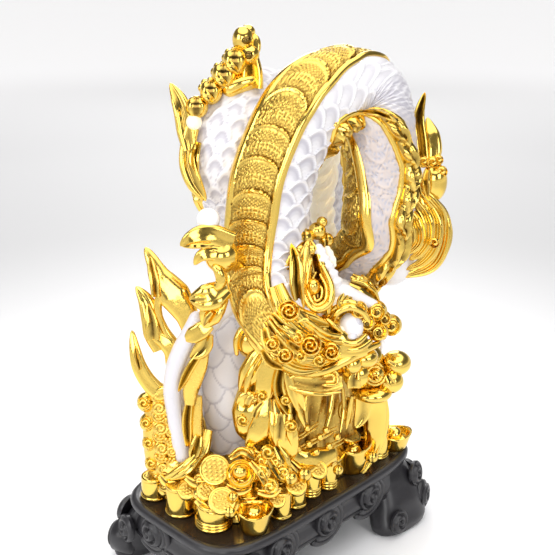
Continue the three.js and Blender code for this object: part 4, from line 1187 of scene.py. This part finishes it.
def hanging_folds():
    """Hanging folds behind the sceptre, with rows of beads at their foot."""
    carving = Carving()
    levels = [(30, -14, 86, 74, 44), (28, -16, 130, 62, 36), (26, -20, 170, 52, 30), (24, -26, 198, 40, 26)]
    dense, so_far = curve_through(levels)
    t = np.linspace(0, 1, 50)
    rows = read_curve(dense, so_far, t * so_far[-1])[0]
    turn = around(200)
    fold = np.abs(np.sin(turn[None, :] * 7.5 + 0.5 * np.sin(t * 7)[:, None]))
    reach = 0.9 + 0.1 * fold ** 0.8 + 0.01 * np.sin(turn * 36 + 2 * np.sin(t * 5)[:, None])
    # Painted shade, full in the valleys between the folds and half on their ridges.
    carving.tube(lofted(rows, reach, turn), FROSTED, np.clip(1.0 - 0.5 * fold, 0, 1))
    for rod in (((294, 441, 8), (319, 424, -6)), ((296, 451, 4), (338, 428, -18)),
                ((304, 459, -4), (344, 440, -30))):
        for aside in (-1.9, 1.9):
            cord(carving, *((across, down + aside, near, 1.3) for across, down, near in rod), sides=10)
    for across, down, near in (
        (307, 428, 10), (320, 437, 4), (309, 444, 8), (329, 446, -10), (316, 452, 2), (298, 449, 8),
        (337, 437, -14), (326, 430, 0), (306, 456, 2),
    ):
        cord(carving, (across - 2.5, down + 2.5, near, 3.4), (across, down, near + 1, 3.8),
             (across + 2.5, down - 2.5, near, 3.4), sides=14, steps=8)
    fronds(
        carving,
        (5, 5, 0.1, 0, (334, 386, -18), (330, 412, -16), (322, 440, -8)),
        (5, 5, 0.1, 0, (306, 386, 6), (305, 408, 8), (307, 424, 8)),
        (5, 5, 0.1, 0, (343, 388, -24), (344, 412, -26), (340, 434, -22)),
        (5, 5, 0.1, 0, (292, 384, 22), (298, 410, 20), (306, 430, 12)),
    )
    frond(carving, 24, 14, (288, 452, 6), (306, 462, 2), (334, 454, -16), dish=0.1, blunt=1)
    return carving


def sceptre():
    """The sceptre: a cloud-shaped head of soft lobes over a broad curling ribbon."""
    carving = Carving()
    limb(carving, [(84, -24, 112, 18), (84, -34, 158, 15), (74, -40, 186, 13)])
    ribbon = dict(dish=0.12, steps=50, sides=32, blunt=1)
    frond(carving, 25, 11, (372, 384, -30), (374, 404, -36), (375, 426, -50), (371, 450, -60),
          (360, 472, -56), widths=(0.9, 1, 0.9, 0.6, 0.35), **ribbon)
    fronds(
        carving,
        (5, 5, 0.1, 0, (385, 396, -32), (387, 418, -46), (380, 446, -58), (364, 474, -56), dict(steps=30)),
        (17, 5, 0.9, 0.5, (364, 398, -22), (362, 414, -26), (356, 428, -28), dict(widths=(1, 0.9, 0.6))),
        (5, 5, 0.1, 0, (352, 396, -18), (349, 412, -22), (346, 430, -24)),
        (16, 8, 1, 1, (350, 398, -28), (346, 412, -30), (350, 424, -30)),
    )
    beads(
        carving,
        (396, 363, -26, 14, (1.1, 1, 0.85)),
        (390, 381, -22, 13, (1, 1, 0.9)),
        (357, 374, -8, 14),
        (375, 374, -10, 9),
        (372, 391, -22, 15, (1.3, 1.3, 0.6)),
        (366, 356, -20, 14, (1.2, 1.2, 0.8)),
        sides=36,
    )
    fronds(
        carving,
        (5, 3, 0.6, 1, (388, 361, -12), (395, 365, -12), (402, 371, -16), dict(widths=(0.6, 1, 0.6))),
        (8, 3, 0.9, 1, (387, 375, -9), (391, 382, -9), (396, 388, -12), dict(widths=(0.7, 1, 0.8))),
        (13, 4, 0.9, 1, (356, 372, 6), (354, 380, 6), (354, 388, 4), dict(widths=(0.5, 1, 1), blunt=1)),
    )
    for k in range(2):
        r = 7.5 + 3.2 * k
        cord(carving, *[(375 + r * math.cos(a), 374 + r * math.sin(a), 0 - 2 * k, 1.3)
                        for a in np.linspace(0.2, 5.6, 9)], sides=10, steps=4)
    curl(carving, 376, 378, 0, 4, 3, 1.0, cut=1.2)
    return carving


# The heap of treasure

def strokes(u, v, seed):
    """Rows of short bars that look struck, and spell nothing. u, v run from -1 to 1 over the coin."""
    turn = math.radians(seed * 37 % 180)
    p = u * math.cos(turn) + v * math.sin(turn)
    q = v * math.cos(turn) - u * math.sin(turn)
    column = np.floor(p * 4.5)
    bars = wave_of(q * 17 + column * 2.1 + seed)
    walls = wave_of(p * 4.5 * 2 * math.pi)
    return step(0.35, 0.65, bars) * step(0.75, 0.45, walls)


def coin(carving, centre, out, r, thick, seed=0, sides=32):
    """A coin: rounded edge, raised rim, a field of struck bars."""
    out_axis, right, top = plane_axes(out, (0.02, 0.3, 1) if abs(out[2]) < 0.9 else (0, 1, 0))
    turn = around(sides)
    rows = [(0.9, -0.5), (0.97, -0.46), (1.0, -0.3), (1.0, 0.3), (0.97, 0.46), (0.92, 0.5), (0.86, 0.5),
            (0.83, 0.34)] + [(q, 0.32) for q in np.linspace(0.76, 0.05, max(8, sides // 3 - 2))]
    q = np.array([row[0] for row in rows])[:, None]
    h = np.array([row[1] for row in rows])[:, None] * thick * np.ones(sides)
    mark = strokes(q * np.cos(turn), q * np.sin(turn), seed)
    field = (np.arange(len(rows)) > 8)[:, None]
    h = h + np.where(field, 0.75 * mark, 0)
    rings = (np.asarray(centre, float) + right * (q * r * np.cos(turn))[..., None]
             + top * (q * r * np.sin(turn))[..., None] + out_axis * h[..., None])
    finish = np.where(np.arange(len(rows) - 1) > 6, FROSTED, GOLD)[:, None]
    # Painted shade between the struck bars of the field.
    carving.tube(rings, finish, np.where(field, 0.5 * (1 - mark), 0.0))


def ingot(carving, x, y, z, r, h, turn):
    """A boat-shaped ingot: flared wall, wide lip rising at both ends, a ball in its hollow."""
    profile = [(0.45, 0.0), (0.6, 0.0), (0.66, 0.03), (0.74, 0.25), (0.86, 0.62), (0.97, 0.9), (1.0, 0.96),
               (1.0, 1.0), (0.97, 1.04), (0.91, 1.03), (0.86, 0.97), (0.8, 0.84), (0.72, 0.7), (0.6, 0.62),
               (0.4, 0.6), (0.2, 0.6), (0.05, 0.6)]
    rows = [(a * r, b * h) for a, b in profile]
    up = (-math.sin(math.radians(turn)), math.cos(math.radians(turn)), 0)

    def lift(radius, angle, level):
        return (radius * np.cos(angle) / r) ** 2 * (np.clip(level / h, 0, 1)) ** 2 * h * 0.22

    lathe(carving, (x, y, z), rows, (0, 0, 1), up, 0.9, lift=lift, sides=44)
    ball(carving, x, y, z + h * 0.62 + r * 0.24, r * 0.46)


def pile(carving, x, y, z, r, tall, ridges, seed):
    """A soft-sided pile of coins: fine ridges at its foot, a struck coin on top."""
    profile = [(0.85 * r, 0), (r, 0.3)]
    for k in range(ridges):
        low = 0.4 + 3.0 * k
        profile += [(r * 1.03, low + 0.6), (r * 1.05, low + 1.3), (r * 1.03, low + 2.1),
                    (r * 0.975, low + 2.7)]
    last = 0.4 + 3.0 * ridges
    profile += [(r * 0.98, last + 0.6), (r * 0.97, (last + tall) / 2), (r * 0.955, tall - 2.2),
                (r * 0.93, tall - 0.9), (r * 0.86, tall - 0.1), (r * 0.6, tall)]
    wave = 0.6 + 0.3 * (seed % 3)

    def lift(radius, turn, level):
        return wave * np.sin(turn * 2 + seed) * np.clip(level / tall, 0, 1) ** 2

    lathe(carving, (x, y, z), profile, (0, 0, 1), sides=32, lift=lift)
    out = (0.06 * math.sin(seed), 0.06 * math.cos(seed), 1)
    coin(carving, (x, y, z + tall), out, r * 0.95, 3.4, seed, 36)


def on_rim(share, half_length, half_width, power):
    """A place on a rounded rectangle, a share of the way round it, and the direction it lies in."""
    c, n = math.cos(share * 2 * math.pi), math.sin(share * 2 * math.pi)
    x = half_length * math.copysign(abs(c) ** power, c)
    y = half_width * math.copysign(abs(n) ** power, n)
    return x, y, c, n


def heap():
    """A low mound packed with coin piles round its rim, loose coins, ingots and balls."""
    carving = Carving()
    foot = PLINTH_TOP + 0.3
    t = np.linspace(0, 1, 30)[:, None]
    turn = around(160)
    c, n = squared(turn, 0.55)
    wide = 1 - 0.75 * t ** 1.6
    bumps = 3.0 * np.sin(turn * 13 + t * 9) + 2.0 * np.sin(turn * 23 - t * 5)
    ripple = 2.0 * np.sin(turn * 9 + t * 14) + 1.2 * np.sin(turn * 31 + t * 27)
    rings = stood((104 * wide + bumps * t) * c, (58 * wide + bumps * t) * n,
                  foot + 40 * np.sin(t * math.pi / 2) + ripple)
    rings[0, :, 2] = foot
    # Painted shade over the mound, following its finer ripple.
    carving.tube(rings, FROSTED, 0.5 + 0.5 * np.sin(turn * 31 + t * 27))
    radius = bpy.context.scene.dragon_size.coin_radius * METRE
    count = bpy.context.scene.dragon_size.stacks
    # Piles that the view shows: across, down at the foot, radius, height.
    for i, (across, down, r, tall) in enumerate((
        (154, 502, 13.5, 20), (180, 519, 14.5, 27), (213, 534, 16.5, 22), (281, 521, 10, 26),
        (296, 510, 10, 27), (311, 499, 9.5, 27), (328, 491, 9.5, 29),
    )):
        x, y = seen_at_level(across, down, foot)
        pile(carving, x + 0.707 * r, y + 0.707 * r, foot, r, tall, 3 if i in (2, 5, 6) else 1, i)
    for i in range(count):
        x, y, _, _ = on_rim((i + 0.5) / count, 111, 64, 0.5)
        if x > 88 or y > 52:
            pile(carving, x, y, foot, radius, 22 + 4 * (i * 7 % 3), 1 + i % 3, i)
    for i in range(count - 5):
        x, y, c, n = on_rim((i + 0.2) / (count - 5), 95, 49, 0.6)
        tilt = (0.45 * c + 0.2 * math.sin(i * 5), 0.45 * n + 0.2 * math.cos(i * 3), 1)
        coin(carving, (x, y, foot + 28 + 4 * math.sin(i * 2.7)), tilt, radius * 1.05, 4.5, i * 3)
    for across, down, r, h in ((254, 538, 17.5, 21), (353, 476, 19, 27), (395, 453, 18, 17)):
        x, y = seen_at_level(across, down, foot)
        ingot(carving, x + 0.45 * r, y + 0.45 * r, foot, r, h, -45)
    for x, y, up, r, h, turn in (
        (-76, -38, 22, 16, 18, 20), (-104, 38, 6, 19, 20, 100), (-56, 62, 4, 20, 22, 10),
        (22, 62, 4, 20, 22, -20), (96, 58, 4, 20, 22, 30), (108, 6, 10, 18, 20, 80),
    ):
        ingot(carving, x, y, foot + up, r, h, turn)
    for across, down, near, r, out in (
        (215, 470, 26, 14, (-0.55, -0.62, 0.6)), (222, 501, 44, 12.5, (-0.4, -0.5, 0.8)),
        (189, 490, 22, 11, (-0.3, -0.2, 1)), (206, 492, 34, 9, (-0.2, -0.5, 0.9)),
        (296, 486, 18, 10, (-0.3, -0.5, 1)), (170, 484, 6, 10, (-0.4, 0.1, 1)),
        (318, 470, 4, 9, (-0.3, -0.6, 0.9)), (277, 500, 26, 8, (-0.4, -0.5, 0.9)),
    ):
        coin(carving, seen((across, down, near))[0], out, r, 5, int(across) % 9, 60 if r > 12 else 40)
    for x, y, z, r, tx, ty in ((-28, 58, 108, 14, -40, 0), (60, 60, 106, 14, -40, 10)):
        tx, ty = math.radians(tx), math.radians(ty)
        out = (math.sin(ty), -math.sin(tx), math.cos(tx) * math.cos(ty))
        coin(carving, (x, y, z), out, r, 5.5, int(x) % 7, 44)
    # the ball in its ringed bowl
    bowl = [(3, -9), (9, -8), (12, -4), (13.5, 0), (12.6, 1.6), (11, 0.6), (10, 1.2), (9, 0.4), (8, 1.2),
            (7, 0), (3, -1)]
    lathe(carving, seen((241, 474, 34))[0], bowl, (-0.5, -0.6, 0.62), sides=48)
    bead(carving, 240, 472, 37, 6.5)
    for across, down, near, r in ((262, 472, 30, 8), (270, 486, 30, 8), (284, 472, 22, 8), (262, 460, 24, 7),
                                  (200, 480, 26, 6), (276, 462, 20, 7)):
        curl(carving, across, down, near, r, r * 0.8, 1.8, cut=0.3, spin=across)
    for row in (
        ((230, 458, 28), (242, 451, 30), (256, 460, 30)), ((226, 486, 36), (238, 492, 36), (252, 488, 34)),
        ((258, 492, 32), (270, 494, 32), (282, 488, 28)), ((196, 500, 36), (206, 508, 38), (216, 514, 40)),
        ((250, 462, 32), (262, 476, 34), (268, 492, 32)), ((268, 458, 24), (278, 474, 26), (288, 484, 22)),
        ((186, 478, 22), (196, 484, 28), (206, 482, 32)), ((160, 476, 4), (168, 484, 10), (176, 482, 14)),
        ((290, 462, 14), (302, 472, 14), (318, 466, 4)), ((224, 514, 46), (234, 508, 46), (238, 498, 42)),
    ):
        frond(carving, 8, 7, *row, dish=0.5, dark=0.8)
    for across, down, near, r in (
        (199, 494, 32, 6), (230, 512, 46, 6), (290, 478, 22, 7), (304, 474, 14, 7), (338, 470, -12, 5),
        (372, 457, -50, 6), (166, 490, 4, 7), (233, 497, 44, 5),
    ):
        bead(carving, across, down, near, r, slits=1, cut=0.14)
    for x, y, z, r in ((-110, 6, 101, 9), (-84, 58, 101, 10), (60, 40, 117, 10), (-120, 20, 96, 7)):
        ball(carving, x, y, z, r, slits=1 if r > 8 else 0, cut=0.12)
    return carving


# The plinth

def plinth():
    """The plinth: a moulded slab with a lobed apron, scrolls along it and a foot at each corner."""
    carving = Carving()
    count = 220
    turn = (np.arange(count) + 0.5) / count * 2 * math.pi
    low, top = APRON_BOTTOM, PLINTH_TOP
    # Each row: how far out from the slab's outline, height, how much it waves.
    margin, z, wavy = (column[:, None] for column in np.array([
        (-12, low + 1, 1), (-9, low - 1, 1), (-5, low, 1), (-3, low + 2, 1), (-2.4, low + 4, 1),
        (-4, low + 5.5, 0.8), (-3, low + 8, 0.5), (-4, low + 13, 0.2), (-6, low + 18, 0), (-7, low + 22, 0),
        (-6, low + 26, 0), (-3.5, top - 10, 0), (-0.8, top - 8.4, 0), (0, top - 7, 0), (0.1, top - 4, 0),
        (-0.6, top - 2, 0), (-2, top - 0.6, 0), (-4, top, 0), (-6, top, 0), (-7, top - 0.8, 0),
        (-40, top - 0.8, 0), (-75, top - 0.8, 0),
    ]).T)
    resin, polished = 0, 1
    finish = np.where(margin[1:] <= -40, polished, resin)
    c, n = squared(turn, 0.42)
    carving.tube(stood((PLINTH_LENGTH / 2 + margin) * c, (PLINTH_WIDTH / 2 + margin) * n,
                       z + wavy * (2.2 * np.cos(turn * 8))), finish)
    for sy in (-1, 1):
        for x in (-72, -10, 52):
            curl_set(carving, x * -sy, sy * (PLINTH_WIDTH / 2 - 5), CURL_LEVEL, (0, sy, 0), sy)
    for sx in (-1, 1):
        curl_set(carving, sx * (PLINTH_LENGTH / 2 - 6), sx * -24, CURL_LEVEL, (sx, 0, 0), sx)
    for sx in (-1, 1):
        for sy in (-1, 1):
            foot(carving, sx, sy)
    return carving


def curl_set(carving, x, y, z, out, hand):
    """A scroll on the apron: a spiral button inside two nested hooks."""
    volute(carving, (x, y, z), out, 14.5, 9.5, 2.0, cut=0.45, hand=hand)
    _, right, top = plane_axes(out, (0, 0, 1))
    centre = np.array([x, y, z], float)
    for radius, thick in ((17, 3.6), (22.5, 3.2)):
        points = []
        for degrees in range(100, 330, 20):
            a = math.radians(degrees)
            grow = radius * (1 + 0.0012 * (degrees - 215))
            p = centre + right * (math.cos(a) * grow * hand) + top * (math.sin(a) * grow * 0.9)
            points.append((*p, thick))
        limb(carving, points, sides=10, steps=4)


def drum(carving, centre, out, half, r):
    """A short drum with rounded ends."""
    lathe(carving, centre, [(4, -half), (12, -half), (r, 3 - half), (r + 0.5, 0), (r, half - 3), (12, half),
                            (4, half)], out)


def foot(carving, sx, sy):
    """A corner foot: a lump leaning out from the apron, with scrolls on both faces."""
    x = sx * (PLINTH_LENGTH / 2 - 38)
    y = sy * (PLINTH_WIDTH / 2 - 20)
    out = 14
    levels = np.array([
        (x, y + sy * (out + 2), 0, 33, 16), (x, y + sy * (out + 2), 3, 36.5, 18.5),
        (x, y + sy * (out + 2), 10, 38, 20), (x + sx * 2, y + sy * out * 0.8, 20, 37, 20.5),
        (x + sx * 4, y + sy * out * 0.6, 30, 35, 20), (x + sx * 4, y + sy * 2, 44, 30, 18.5),
        (x + sx * 2, y - sy * 2, 56, 25, 16), (x, y - sy * 4, 62, 22, 14),
    ])
    t = np.linspace(0, 1, 30)
    rows = np.stack([spread(column, t) for column in levels.T], axis=1)
    turn = around(56)
    ripple = 1 + 0.035 * np.sin(turn * 5 + sx) * step(0, 0.2, t)[:, None]
    carving.tube(lofted(rows, ripple, turn))
    slant = (0.4 * sx, sy, 0)
    drum(carving, (x - sx * 20, y + sy * (out + 8), 17), (0, sy, 0), 11, 15)
    volute(carving, (x - sx * 20, y + sy * (out + 18), 17), (0, sy, 0.12), 12.5, 4.5, 1.8, cut=0.7, hand=sx)
    drum(carving, (x + sx * 27, y + sy * out, 22), slant, 12, 16)
    volute(carving, (x + sx * 31.5, y + sy * (out + 11), 22), slant, 13, 4.5, 1.8, cut=0.7, hand=-sx)
    volute(carving, (x + sx * 22, y + sy * 18, 50), (0.3 * sx, sy, 0.2), 13, 6, 1.8, cut=0.6, hand=sx)
    volute(carving, (x + sx * 34, y + sy * 2, 40), (sx, 0.2 * sy, 0.1), 14, 6, 1.8, cut=0.6, hand=sx)


# Sizes and finishes that a user would change

class DragonSize(bpy.types.PropertyGroup):
    coin_radius: FloatProperty(name="Coin radius", description="Radius of a coin in the heap",
                               default=0.0125, min=0.005, max=0.03, unit="LENGTH")
    stacks: IntProperty(name="Coin stacks", description="Stacks of coins round the heap's rim",
                        default=26, min=8, max=40)
    floor_reach: FloatProperty(name="Floor reach", description="Half the width of the studio floor",
                               default=14.0, min=2.0, unit="LENGTH")


class DragonFinish(bpy.types.PropertyGroup):
    gold: FloatVectorProperty(name="Gold", description="Colour of the gold plating", subtype="COLOR",
                              default=(0.94, 0.65, 0.14), min=0, max=1)
    white: FloatVectorProperty(name="White", description="Colour of the white glaze", subtype="COLOR",
                               default=(0.9, 0.885, 0.91), min=0, max=1)
    # The hollows colour is the painted shade colour of the white glaze.
    hollow: FloatVectorProperty(name="Hollows", description="Colour of the glaze in its hollows",
                                subtype="COLOR", default=(0.57, 0.55, 0.61), min=0, max=1)
    black: FloatVectorProperty(name="Plinth", description="Colour of the plinth", subtype="COLOR",
                               default=(0.019, 0.018, 0.021), min=0, max=1)


# Operators

def build(name, carving):
    belongs(carving.piece(name, finishes()), CASTING)


class DRAGON_OT_stage(bpy.types.Operator):
    """Adds the pale floor, the soft lights and the camera"""
    bl_idname = "dragon.stage"
    bl_label = "Stage"

    def execute(self, context):
        scene = context.scene
        reach = scene.dragon_size.floor_reach
        bpy.ops.object.select_all(action="DESELECT")
        bpy.ops.mesh.primitive_plane_add(size=2 * reach)
        floor = context.object
        floor.name = "floor"
        look = Look("pale floor")
        length = look.nodes.new("ShaderNodeVectorMath")
        length.operation = "LENGTH"
        look.links.new(look.place(), length.inputs[0])
        pale = (0.87, 0.87, 0.88)
        tone = look.blend(look.scaled(length.outputs["Value"], 0, 1, 0, 4), pale, pale)
        tone.color_ramp.interpolation = "EASE"
        # Painted shade on the floor: pale near the statue, darkening to a grey ring about 1.1 to 1.8 m out,
        # and pale again by 3.6 m.
        for position, grey in ((0.06, 0.87), (0.28, 0.52), (0.45, 0.54), (0.9, 0.87)):
            tone.color_ramp.elements.new(position).color = (grey, grey, grey * 1.015, 1)
        look.surface(Base_Color=tone.outputs["Color"], Roughness=0.55)
        floor.data.materials.append(look.material)
        lamps = [
            ("left softbox", (-2.1, 0.2, 1.2), (0, 0, 0.25), 1.1, 17),
            ("front softbox", (-0.2, -2.2, 1.3), (0, 0, 0.25), 0.9, 11),
            ("camera softbox", (-1.5, -1.2, 1.0), (0, 0, 0.3), 0.8, 9),
            ("rear softbox", (1.6, 1.6, 1.3), (0, 0, 0.25), 1.2, 16),
        ]
        for name, place, aim, size, power in lamps:
            bpy.ops.object.light_add(type="AREA", location=place)
            lamp = context.object
            lamp.name = name
            lamp.data.shape = "SQUARE"
            lamp.data.size = size
            lamp.data.energy = power
            lamp.rotation_euler = (Vector(aim) - Vector(place)).to_track_quat("-Z", "Y").to_euler()
        world = bpy.data.worlds.new("studio")
        scene.world = world
        world.use_nodes = True
        self.paint_walls(world.node_tree)
        bpy.ops.object.camera_add(location=EYE * MILLIMETRE)
        camera = context.object
        camera.data.lens = CAMERA_LENS
        camera.data.sensor_width = 36
        aim = Vector(CAMERA_AIM) - camera.location
        camera.rotation_euler = aim.to_track_quat("-Z", "Y").to_euler()
        scene.camera = camera
        scene.view_settings.view_transform = "Standard"
        return {"FINISHED"}

    def paint_walls(self, tree):
        """Bright walls low down, a dim ceiling, and a few darker panels for the gold to mirror."""
        nodes, links = tree.nodes, tree.links
        background = nodes["Background"]
        where = nodes.new("ShaderNodeTexCoord")
        split = nodes.new("ShaderNodeSeparateXYZ")
        links.new(where.outputs["Generated"], split.inputs["Vector"])
        ramp = nodes.new("ShaderNodeValToRGB")
        stops = ramp.color_ramp
        stops.elements[0].position = 0.50
        stops.elements[0].color = (0.9, 0.9, 0.93, 1)
        stops.elements[1].position = 1.0
        stops.elements[1].color = (2.3, 2.3, 2.3, 1)
        for position, tone in ((0.55, 0.85), (0.585, 0.28), (0.72, 0.12), (0.84, 0.2), (0.88, 2.1)):
            element = stops.elements.new(position)
            element.color = (tone, tone * 0.985, tone * 0.97, 1)
        height = nodes.new("ShaderNodeMapRange")
        height.inputs["From Min"].default_value = -1
        links.new(split.outputs["Z"], height.inputs["Value"])
        links.new(height.outputs["Result"], ramp.inputs["Fac"])
        links.new(ramp.outputs["Color"], background.inputs["Color"])
        background.inputs["Strength"].default_value = 1.0


class DRAGON_OT_plinth(bpy.types.Operator):
    """Carves the black scrolled plinth"""
    bl_idname = "dragon.plinth"
    bl_label = "Plinth"

    def execute(self, context):
        black = tuple(context.scene.dragon_finish.black)
        looks = [black_look("black resin", black, 0.36, 0.1),
                 black_look("polished top", (0.045, 0.03, 0.018), 0.14, 0.6)]
        piece = plinth().piece("scrolled_plinth", looks)
        belongs(piece, "plinth")
        return {"FINISHED"}


class DRAGON_OT_loop(bpy.types.Operator):
    """Carves the raised loop of the body: belly band, scaled sides and petals"""
    bl_idname = "dragon.loop"
    bl_label = "Raised loop"

    def execute(self, context):
        build("loop_belly_band", loop_band())
        end = LOOP_LENGTH - 2
        build("loop_near_scales", loop_flank(45.5, 180.5, (2, 340, 1.2), (340, end, 2.0)))
        build("loop_far_scales", loop_flank(-45.5, -180.5, (2, 280, 2.0), (280, 520, 1.2), (520, end, 2.0)))
        build("loop_petals", loop_crest())
        return {"FINISHED"}


class DRAGON_OT_rear(bpy.types.Operator):
    """Carves the rear body, its crest and the flames at its top"""
    bl_idname = "dragon.rear"
    bl_label = "Rear body"

    def execute(self, context):
        build("rear_scales", rear_body())
        build("rear_petals", rear_crest())
        build("top_crest", top_crest())
        return {"FINISHED"}


class DRAGON_OT_head(bpy.types.Operator):
    """Carves the head under the loop"""
    bl_idname = "dragon.head"
    bl_label = "Head"

    def execute(self, context):
        build("head", head())
        return {"FINISHED"}


class DRAGON_OT_limbs(bpy.types.Operator):
    """Carves the raised claw, its flames and pearl, the stack of balls and the right tuft"""
    bl_idname = "dragon.limbs"
    bl_label = "Claw, flames and tuft"

    def execute(self, context):
        build("claw_and_flames", left_limb())
        build("ball_stack", ball_stack())
        build("right_tuft", right_tuft())
        carving = Carving()
        x, y, z, r = PEARL
        ball(carving, x, y, z, r, sides=48)
        pearl = carving.piece("held_pearl", [white_look("pearl", (0.93, 0.92, 0.95), (0.8, 0.8, 0.85), 0.12)])
        belongs(pearl, "pearl")
        return {"FINISHED"}


class DRAGON_OT_leaves(bpy.types.Operator):
    """Carves the gold leaves, the hanging folds with their beads and the sceptre"""
    bl_idname = "dragon.leaves"
    bl_label = "Leaves, folds and sceptre"

    def execute(self, context):
        build("front_leaves", front_leaves())
        build("hanging_folds", hanging_folds())
        build("sceptre", sceptre())
        return {"FINISHED"}


class DRAGON_OT_heap(bpy.types.Operator):
    """Piles up the coins, ingots and balls"""
    bl_idname = "dragon.heap"
    bl_label = "Heap of treasure"

    def execute(self, context):
        build("treasure", heap())
        return {"FINISHED"}


class DRAGON_PT_panel(bpy.types.Panel):
    """The dragon's pieces in the 3D view's sidebar"""
    bl_label = "Dragon statue"
    bl_idname = "DRAGON_PT_panel"
    bl_space_type = "VIEW_3D"
    bl_region_type = "UI"
    bl_category = "Dragon"

    def draw(self, context):
        layout = self.layout
        for group in (context.scene.dragon_size, context.scene.dragon_finish):
            for name in group.__annotations__:
                layout.prop(group, name)
        for operator in OPERATORS:
            layout.operator(operator.bl_idname)


OPERATORS = (DRAGON_OT_stage, DRAGON_OT_plinth, DRAGON_OT_loop, DRAGON_OT_rear, DRAGON_OT_head,
             DRAGON_OT_limbs, DRAGON_OT_leaves, DRAGON_OT_heap)
CLASSES = (DragonSize, DragonFinish, *OPERATORS, DRAGON_PT_panel)


def register():
    for item in CLASSES:
        bpy.utils.register_class(item)
    bpy.types.Scene.dragon_size = PointerProperty(type=DragonSize)
    bpy.types.Scene.dragon_finish = PointerProperty(type=DragonFinish)


def unregister():
    del bpy.types.Scene.dragon_finish
    del bpy.types.Scene.dragon_size
    for item in reversed(CLASSES):
        bpy.utils.unregister_class(item)


def main():
    register()
    bpy.ops.dragon.stage()
    bpy.ops.dragon.plinth()
    bpy.ops.dragon.loop()
    bpy.ops.dragon.rear()
    bpy.ops.dragon.head()
    bpy.ops.dragon.limbs()
    bpy.ops.dragon.leaves()
    bpy.ops.dragon.heap()


if __name__ == "__main__":
    main()
